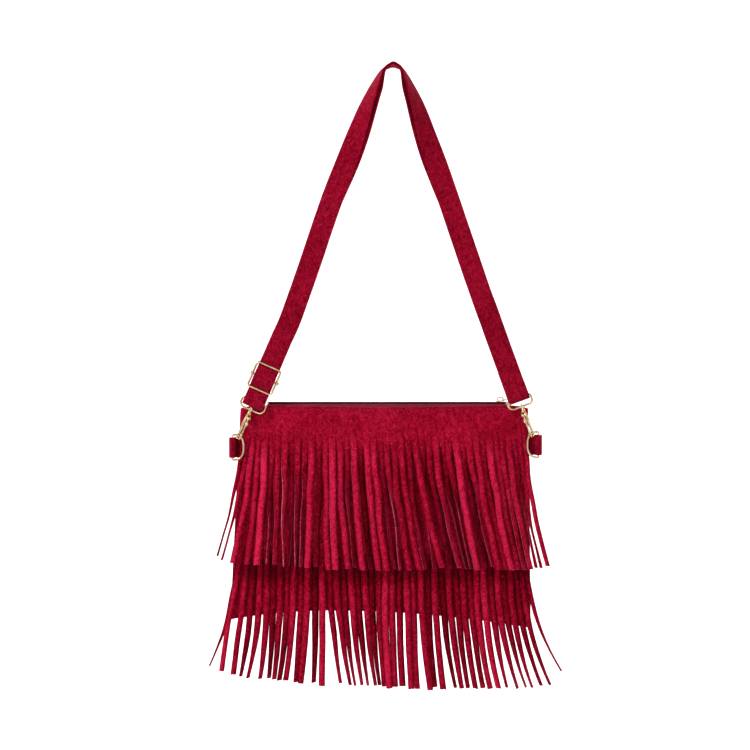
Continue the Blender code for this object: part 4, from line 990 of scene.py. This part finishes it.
def make_clasp_hook(side):
    origin, across, normal, down = hook_axes(side)

    def at(h, v):
        return origin + across * h + down * v

    bm = bmesh.new()
    top, head = -(EYE_FOOT + BOSS_RISE + GAP), STEM_RADIUS + STEM_HEAD
    add_turned(bm, origin, down, (
        (top - 1.0 * MM, 0.5 * MM), (top - 0.95 * MM, 0.9 * MM), (top - 0.75 * MM, 1.25 * MM), (top - 0.4 * MM, head),
        (top - 0.1 * MM, head), (top, head - 0.15 * MM), (top, STEM_RADIUS - 0.2 * MM), (0.0, STEM_RADIUS - 0.2 * MM), (0.0, 1.3 * MM),
        (0.25 * MM, 1.6 * MM), (1.2 * MM, 1.85 * MM), (2.2 * MM, 1.9 * MM), (3.0 * MM, 1.75 * MM), (3.6 * MM, 1.2 * MM)))
    bend_v = HOOK_LONG - HOOK_WIRE - HOOK_HALF
    spine = [at(0, 1.2 * MM), at(-1.3 * MM, 4.0 * MM), at(-HOOK_HALF + 0.8 * MM, 7.2 * MM),
             at(-HOOK_HALF, 11 * MM), at(-HOOK_HALF, 16 * MM), at(-HOOK_HALF, 20 * MM)]
    points = smooth_path(spine, 6)
    radii = [(1.5 - 0.2 * k / len(points)) * MM for k in range(len(points))]
    for k in range(25):
        a = pi - pi * k / 24
        points.append(at(HOOK_HALF * cos(a), bend_v + HOOK_HALF * sin(a)))
        radii.append(HOOK_WIRE)
    for drop, radius in ((0.8, 1.2), (1.6, 1.12), (2.1, 1.0), (2.35, 0.75), (2.4, 0.4)):
        points.append(at(HOOK_HALF, bend_v - drop * MM))
        radii.append(radius * MM)
    add_rod(bm, points, radii, 18)
    pivot = at(GATE_PIN_ACROSS, GATE_PIN_DOWN)
    inner, outer = GATE_HALF_THICK + GAP, GATE_HALF_THICK + GAP + EAR_THICK
    collar = at(0, 2.3 * MM)
    toward = (pivot - collar).normalized()
    beside = toward.cross(normal)
    outline = []
    for k in range(13):
        a = -pi / 2 + pi * k / 12
        outline.append(pivot + (toward * cos(a) + beside * sin(a)) * EAR_RADIUS)
    for k in range(9):
        a = pi / 2 + pi * k / 8
        outline.append(collar + (toward * cos(a) + beside * sin(a)) * 1.1 * MM)
    for way in (-1, 1):
        shift = normal * way * (inner + outer) / 2
        add_plate(bm, [p + shift for p in outline], normal * EAR_THICK / 2, 0.15 * MM)
    metal_piece("clasp_hook_%s_cast" % side, bm, "clasp_hook_" + side, "clasp_hook_%s_body" % side)
    make_gate(side, at, pivot, bend_v - NOSE_LONG - GAP)


def make_gate(side, at, pivot, end_v):
    _, across, normal, down = hook_axes(side)
    reach = GATE_HALF_THICK + GAP + EAR_THICK + 0.2 * MM
    bm = bmesh.new()
    add_turned(bm, pivot, normal, ((-reach, 0.25 * MM), (-reach + 0.1 * MM, 0.45 * MM), (-reach + 0.2 * MM, GATE_PIN_RADIUS),
                                   (reach - 0.2 * MM, GATE_PIN_RADIUS), (reach - 0.1 * MM, 0.45 * MM), (reach, 0.25 * MM)))
    metal_piece("gate_pin_%s_head" % side, bm, "gate_pin_" + side, "clasp_hook_%s_body" % side)
    bm = bmesh.new()
    half, soft = GATE_HALF_THICK, 0.2 * MM
    bore = GATE_PIN_RADIUS + 0.12 * MM
    add_turned(bm, pivot, normal, ((-half, bore), (-half, GATE_EYE_RADIUS - soft), (-half + soft, GATE_EYE_RADIUS),
                                   (half - soft, GATE_EYE_RADIUS), (half, GATE_EYE_RADIUS - soft), (half, bore)), bored=True)
    spine = [pivot + down * (bore + 0.12 * MM) + across * 0.15 * MM, at(HOOK_HALF - 0.2 * MM, GATE_PIN_DOWN + 3 * MM),
             at(HOOK_HALF, GATE_PIN_DOWN + 6 * MM), at(HOOK_HALF, end_v)]
    add_rod(bm, smooth_path(spine, 5), GATE_WIRE, 16)
    thumb = at(HOOK_HALF + GATE_WIRE, GATE_PIN_DOWN + 5.6 * MM)
    outline = [thumb + normal * 1.45 * MM * cos(a) + down * 2.1 * MM * sin(a)
               for a in (2 * pi * k / 28 for k in range(28))]
    add_plate(bm, outline, across * 0.5 * MM, 0.25 * MM)
    metal_piece("clasp_gate_%s_cast" % side, bm, "clasp_gate_" + side, "clasp_gate_%s_body" % side)


def make_tab(side):
    """A short suede strip folded round the ring's bar, its ends in the side seam."""
    sign, bar = SIDES[side]["sign"], ring_middle(side)
    root_x = bag_middle(0.2) + sign * (bag_half(0.2) - 7 * MM)
    half = TAB_THICK / 2
    turn = WIRE + GAP + half
    route = [Vector((root_x, half + GAP / 2, 0)), Vector((root_x + sign * 9 * MM, half + GAP / 2, 0)),
             Vector((bar.x + sign * (turn + 1.0 * MM), -2.8 * MM, 0)), Vector((bar.x + sign * turn, bar.y + 2.0 * MM, 0))]
    path = smooth_path(route, 8)[:-1]
    path += [Vector((bar.x + sign * turn * cos(pi * k / 16), bar.y - turn * sin(pi * k / 16), 0)) for k in range(17)]
    path += smooth_path([Vector((bar.x - sign * turn, bar.y + 0.6 * MM, 0)),
                         Vector((bar.x - sign * (turn - 0.4 * MM), -3.6 * MM, 0)),
                         Vector((root_x + sign * 8.2 * MM, -half - GAP / 2 - 0.2 * MM, 0)),
                         Vector((root_x, -half - GAP / 2, 0))], 8)
    rings = []
    middle_z = bar.z - 0.4 * MM
    for k, p in enumerate(path):
        ahead = (path[min(k + 1, len(path) - 1)] - path[max(k - 1, 0)]).normalized()
        lift = Vector((0, 0, middle_z + 0.25 * MM * noise.noise(Vector((k * 0.2, sign, 0)))))
        rings.append(band_section(p + lift, Z, ahead.cross(Z), TAB_HALF, TAB_THICK))
    bm = bmesh.new()
    add_rings(bm, rings)
    bmesh.ops.recalc_face_normals(bm, faces=bm.faces)
    obj = finish_mesh("tab_%s_suede" % side, bm, SUEDE_DARK, angle=60)
    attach(obj, "bag")
    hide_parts("tab_" + side)


def make_adjuster():
    origin, across, front, up = strap_end_axes("left")
    middle = origin + up * ADJUSTER_UP + front * FRAME_FRONT
    corner = 2.5 * MM
    points = []
    for cx, cz, start in ((FRAME_HALF_WIDE - corner, FRAME_HALF_TALL - corner, 90),
                          (FRAME_HALF_WIDE - corner, corner - FRAME_HALF_TALL, 0),
                          (corner - FRAME_HALF_WIDE, corner - FRAME_HALF_TALL, -90),
                          (corner - FRAME_HALF_WIDE, FRAME_HALF_TALL - corner, 180)):
        for k in range(9):
            a = radians(start - 90 * k / 8)
            points.append(middle + across * (cx + corner * cos(a)) + up * (cz + corner * sin(a)))
    bm = bmesh.new()
    add_rod(bm, points, WIRE, 18, closed=True)
    metal_piece("adjuster_frame_wire", bm, "adjuster_frame", "strap")
    bar = origin + up * ADJUSTER_UP + front * BAR_FRONT
    reach = FRAME_HALF_WIDE + WIRE
    profile = [(-reach - BAR_KNOB * cos(pi * k / 12), max(0.05 * MM, BAR_KNOB * sin(pi * k / 12))) for k in range(9)]
    profile += [(-reach + 1.36 * MM, BAR_RADIUS)]
    profile += [(-d, r) for d, r in profile[::-1]]
    bm = bmesh.new()
    add_turned(bm, bar, across, profile)
    metal_piece("adjuster_bar_knobs", bm, "adjuster_bar", "strap")


for each_side in SIDES:
    make_ring(each_side)
    make_clasp_eye(each_side)
    make_clasp_hook(each_side)
    make_tab(each_side)
make_adjuster()


# The zip

ZIP_Z, ZIP_LEFT, ZIP_RIGHT = -315.4 * MM, -118.0 * MM, 106.0 * MM
COIL_WIDE, COIL_TALL, COIL_SPACE, TAPE_THICK = 2.0 * MM, 1.7 * MM, 1.2 * MM, 0.7 * MM
SLIDER_LONG, SLIDER_WIDE, SLIDER_PLATE = 8.6 * MM, 6.4 * MM, 1.0 * MM
BRIDGE_WIRE, BRIDGE_HALF, BRIDGE_TALL = 0.55 * MM, 2.75 * MM, 2.5 * MM
PULL_LONG, PULL_WIDE, PULL_THICK, PULL_BAR, PULL_EYE, PULL_EYE_WIDE = (v * MM for v in (15, 4.2, 1.0, 1.0, 3.0, 2.2))


def make_zip():
    for name, facing in (("front", -1), ("back", 1)):
        bm = bmesh.new()
        columns, profile = 90, 9
        rows = [[] for _ in range(profile)]
        for i in range(columns + 1):
            x = ZIP_LEFT + (ZIP_RIGHT - ZIP_LEFT) * i / columns
            u = (x - BAG_X) / HALF_TOP
            outer = inner_depth(u, 0.0) - 0.5 * MM
            flat = min(3.5 * MM, outer - 0.2 * MM)
            level = ZIP_Z - GAP - TAPE_THICK / 2
            low = top_edge(u) - 4.0 * MM
            for k in range(profile):
                sag = 0.1 * MM * noise.noise(Vector((x * 60, k, facing)))
                if k < 4:
                    y, z = COIL_SPACE / 2 + (flat - COIL_SPACE / 2) * k / 3, level
                else:
                    t = (k - 3) / (profile - 4)
                    y, z = flat + (outer - flat) * sin(pi / 2 * t), level + (low - level) * t
                rows[k].append(bm.verts.new((x, facing * y, z + sag)))
        for a, b in zip(rows, rows[1:]):
            for k in range(columns):
                bm.faces.new((a[k], a[k + 1], b[k + 1], b[k]))
        bmesh.ops.recalc_face_normals(bm, faces=bm.faces)
        tape = finish_mesh("zip_tape_%s_cloth" % name, bm, ZIP_TAPE)
        solid = tape.modifiers.new("thickness", "SOLIDIFY")
        solid.thickness = TAPE_THICK * 0.9
        solid.offset = 0.0
        settle(tape)
        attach(tape, "bag")
        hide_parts("zip_tape_" + name)
        y = facing * (COIL_SPACE / 2 + COIL_WIDE / 2)
        ends = (ZIP_LEFT + SLIDER_PLATE + 0.8 * MM, ZIP_RIGHT - SLIDER_PLATE - 0.8 * MM)
        line = [Vector((x, y, ZIP_Z + COIL_TALL / 2 - 0.45 * MM)) for x in ends]
        row = row_along("zip_coil_%s_turns" % name, [line], 0.95 * MM, (1.8 * MM, COIL_WIDE * 1.08, COIL_TALL + 0.9 * MM),
                        ZIP_COIL, "bag", (0.0, 0.0, radians(12 * facing)))
        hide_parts("zip_coil_" + name)
    for name, x, facing in (("left", ZIP_LEFT, 1), ("right", ZIP_RIGHT, -1)):
        bm = bmesh.new()
        half = COIL_SPACE / 2 + COIL_WIDE
        middle = Vector((x + facing * SLIDER_PLATE / 2, 0, ZIP_Z + COIL_TALL / 2))
        outline = [middle + Y * half * c + Z * COIL_TALL / 2 * d for c, d in ((-1, -1), (1, -1), (1, 0.7), (0.9, 1), (-0.9, 1), (-1, 0.7))]
        add_plate(bm, outline, X * SLIDER_PLATE / 2, 0.2 * MM)
        metal_piece("zip_stop_%s_clip" % name, bm, "zip_stop_" + name, "bag")
    make_slider()


def make_slider():
    x = ZIP_RIGHT - SLIDER_PLATE - 2 * GAP - SLIDER_LONG / 2
    low, high = ZIP_Z - 2 * GAP - TAPE_THICK, ZIP_Z + COIL_TALL + GAP
    bm = bmesh.new()
    shape = ((-1, -0.62), (-0.8, -0.8), (0.1, -1), (0.75, -1), (1, -0.72), (1, 0.72), (0.75, 1), (0.1, 1), (-0.8, 0.8), (-1, 0.62))
    for level in (high + SLIDER_PLATE / 2, low - SLIDER_PLATE / 2):
        outline = [Vector((x + a * SLIDER_LONG / 2, b * SLIDER_WIDE / 2, level)) for a, b in shape]
        add_plate(bm, outline, Z * SLIDER_PLATE / 2, 0.22 * MM)
    post = Vector((x - SLIDER_LONG * 0.2, 0, (high + low) / 2))
    wide = COIL_SPACE / 2 - GAP
    outline = [post + X * a * SLIDER_LONG * 0.2 + Y * b * wide for a, b in ((-1, -1), (1, -1), (1, 1), (-1, 1))]
    add_plate(bm, outline, Z * ((high - low) / 2 + SLIDER_PLATE / 2))
    plate_top = high + SLIDER_PLATE
    arch = [(-1.0, -0.2), (-1.0, 0.35), (-0.98, 0.72), (-0.8, 0.98), (-0.4, 1.0), (0.4, 1.0), (0.8, 0.98), (0.98, 0.72),
            (1.0, 0.35), (1.0, -0.2)]
    spine = smooth_path([Vector((x + a * BRIDGE_HALF, 0, plate_top + b * BRIDGE_TALL)) for a, b in arch], 4)
    add_rod(bm, spine, BRIDGE_WIRE, 14)
    metal_piece("zip_slider_cast", bm, "zip_slider", "zip_slider_body")
    pivot = Vector((x + BRIDGE_HALF - BRIDGE_WIRE - GAP - PULL_BAR / 2, 0, plate_top + (BRIDGE_TALL - BRIDGE_WIRE) / 2))
    half, left = PULL_WIDE / 2, -PULL_BAR / 2
    bm = bmesh.new()
    eye_end = left + PULL_BAR + PULL_EYE
    pieces = [((left, -half * 0.8), (left + 0.4 * MM, -half), (left + PULL_BAR, -half), (left + PULL_BAR, half),
               (left + 0.4 * MM, half), (left, half * 0.8))]
    for way in (-1, 1):
        a, b = sorted((way * half, way * PULL_EYE_WIDE / 2))
        pieces.append(((left + PULL_BAR - 0.3 * MM, a), (eye_end + 0.3 * MM, a), (eye_end + 0.3 * MM, b), (left + PULL_BAR - 0.3 * MM, b)))
    tip = [(PULL_LONG - half + half * 0.8 * cos(a), half * 0.8 * sin(a)) for a in (-pi / 2 + pi * k / 12 for k in range(13))]
    pieces.append(((eye_end, half), (eye_end, -half), *tip))
    for outline in pieces:
        add_plate(bm, [pivot + X * a + Y * b for a, b in outline], Z * PULL_THICK / 2, 0.16 * MM)
    metal_piece("zip_pull_tag", bm, "zip_pull", "zip_pull_body")


make_zip()
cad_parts["lining"].data.materials.clear()
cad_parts["lining"].data.materials.append(LINING)
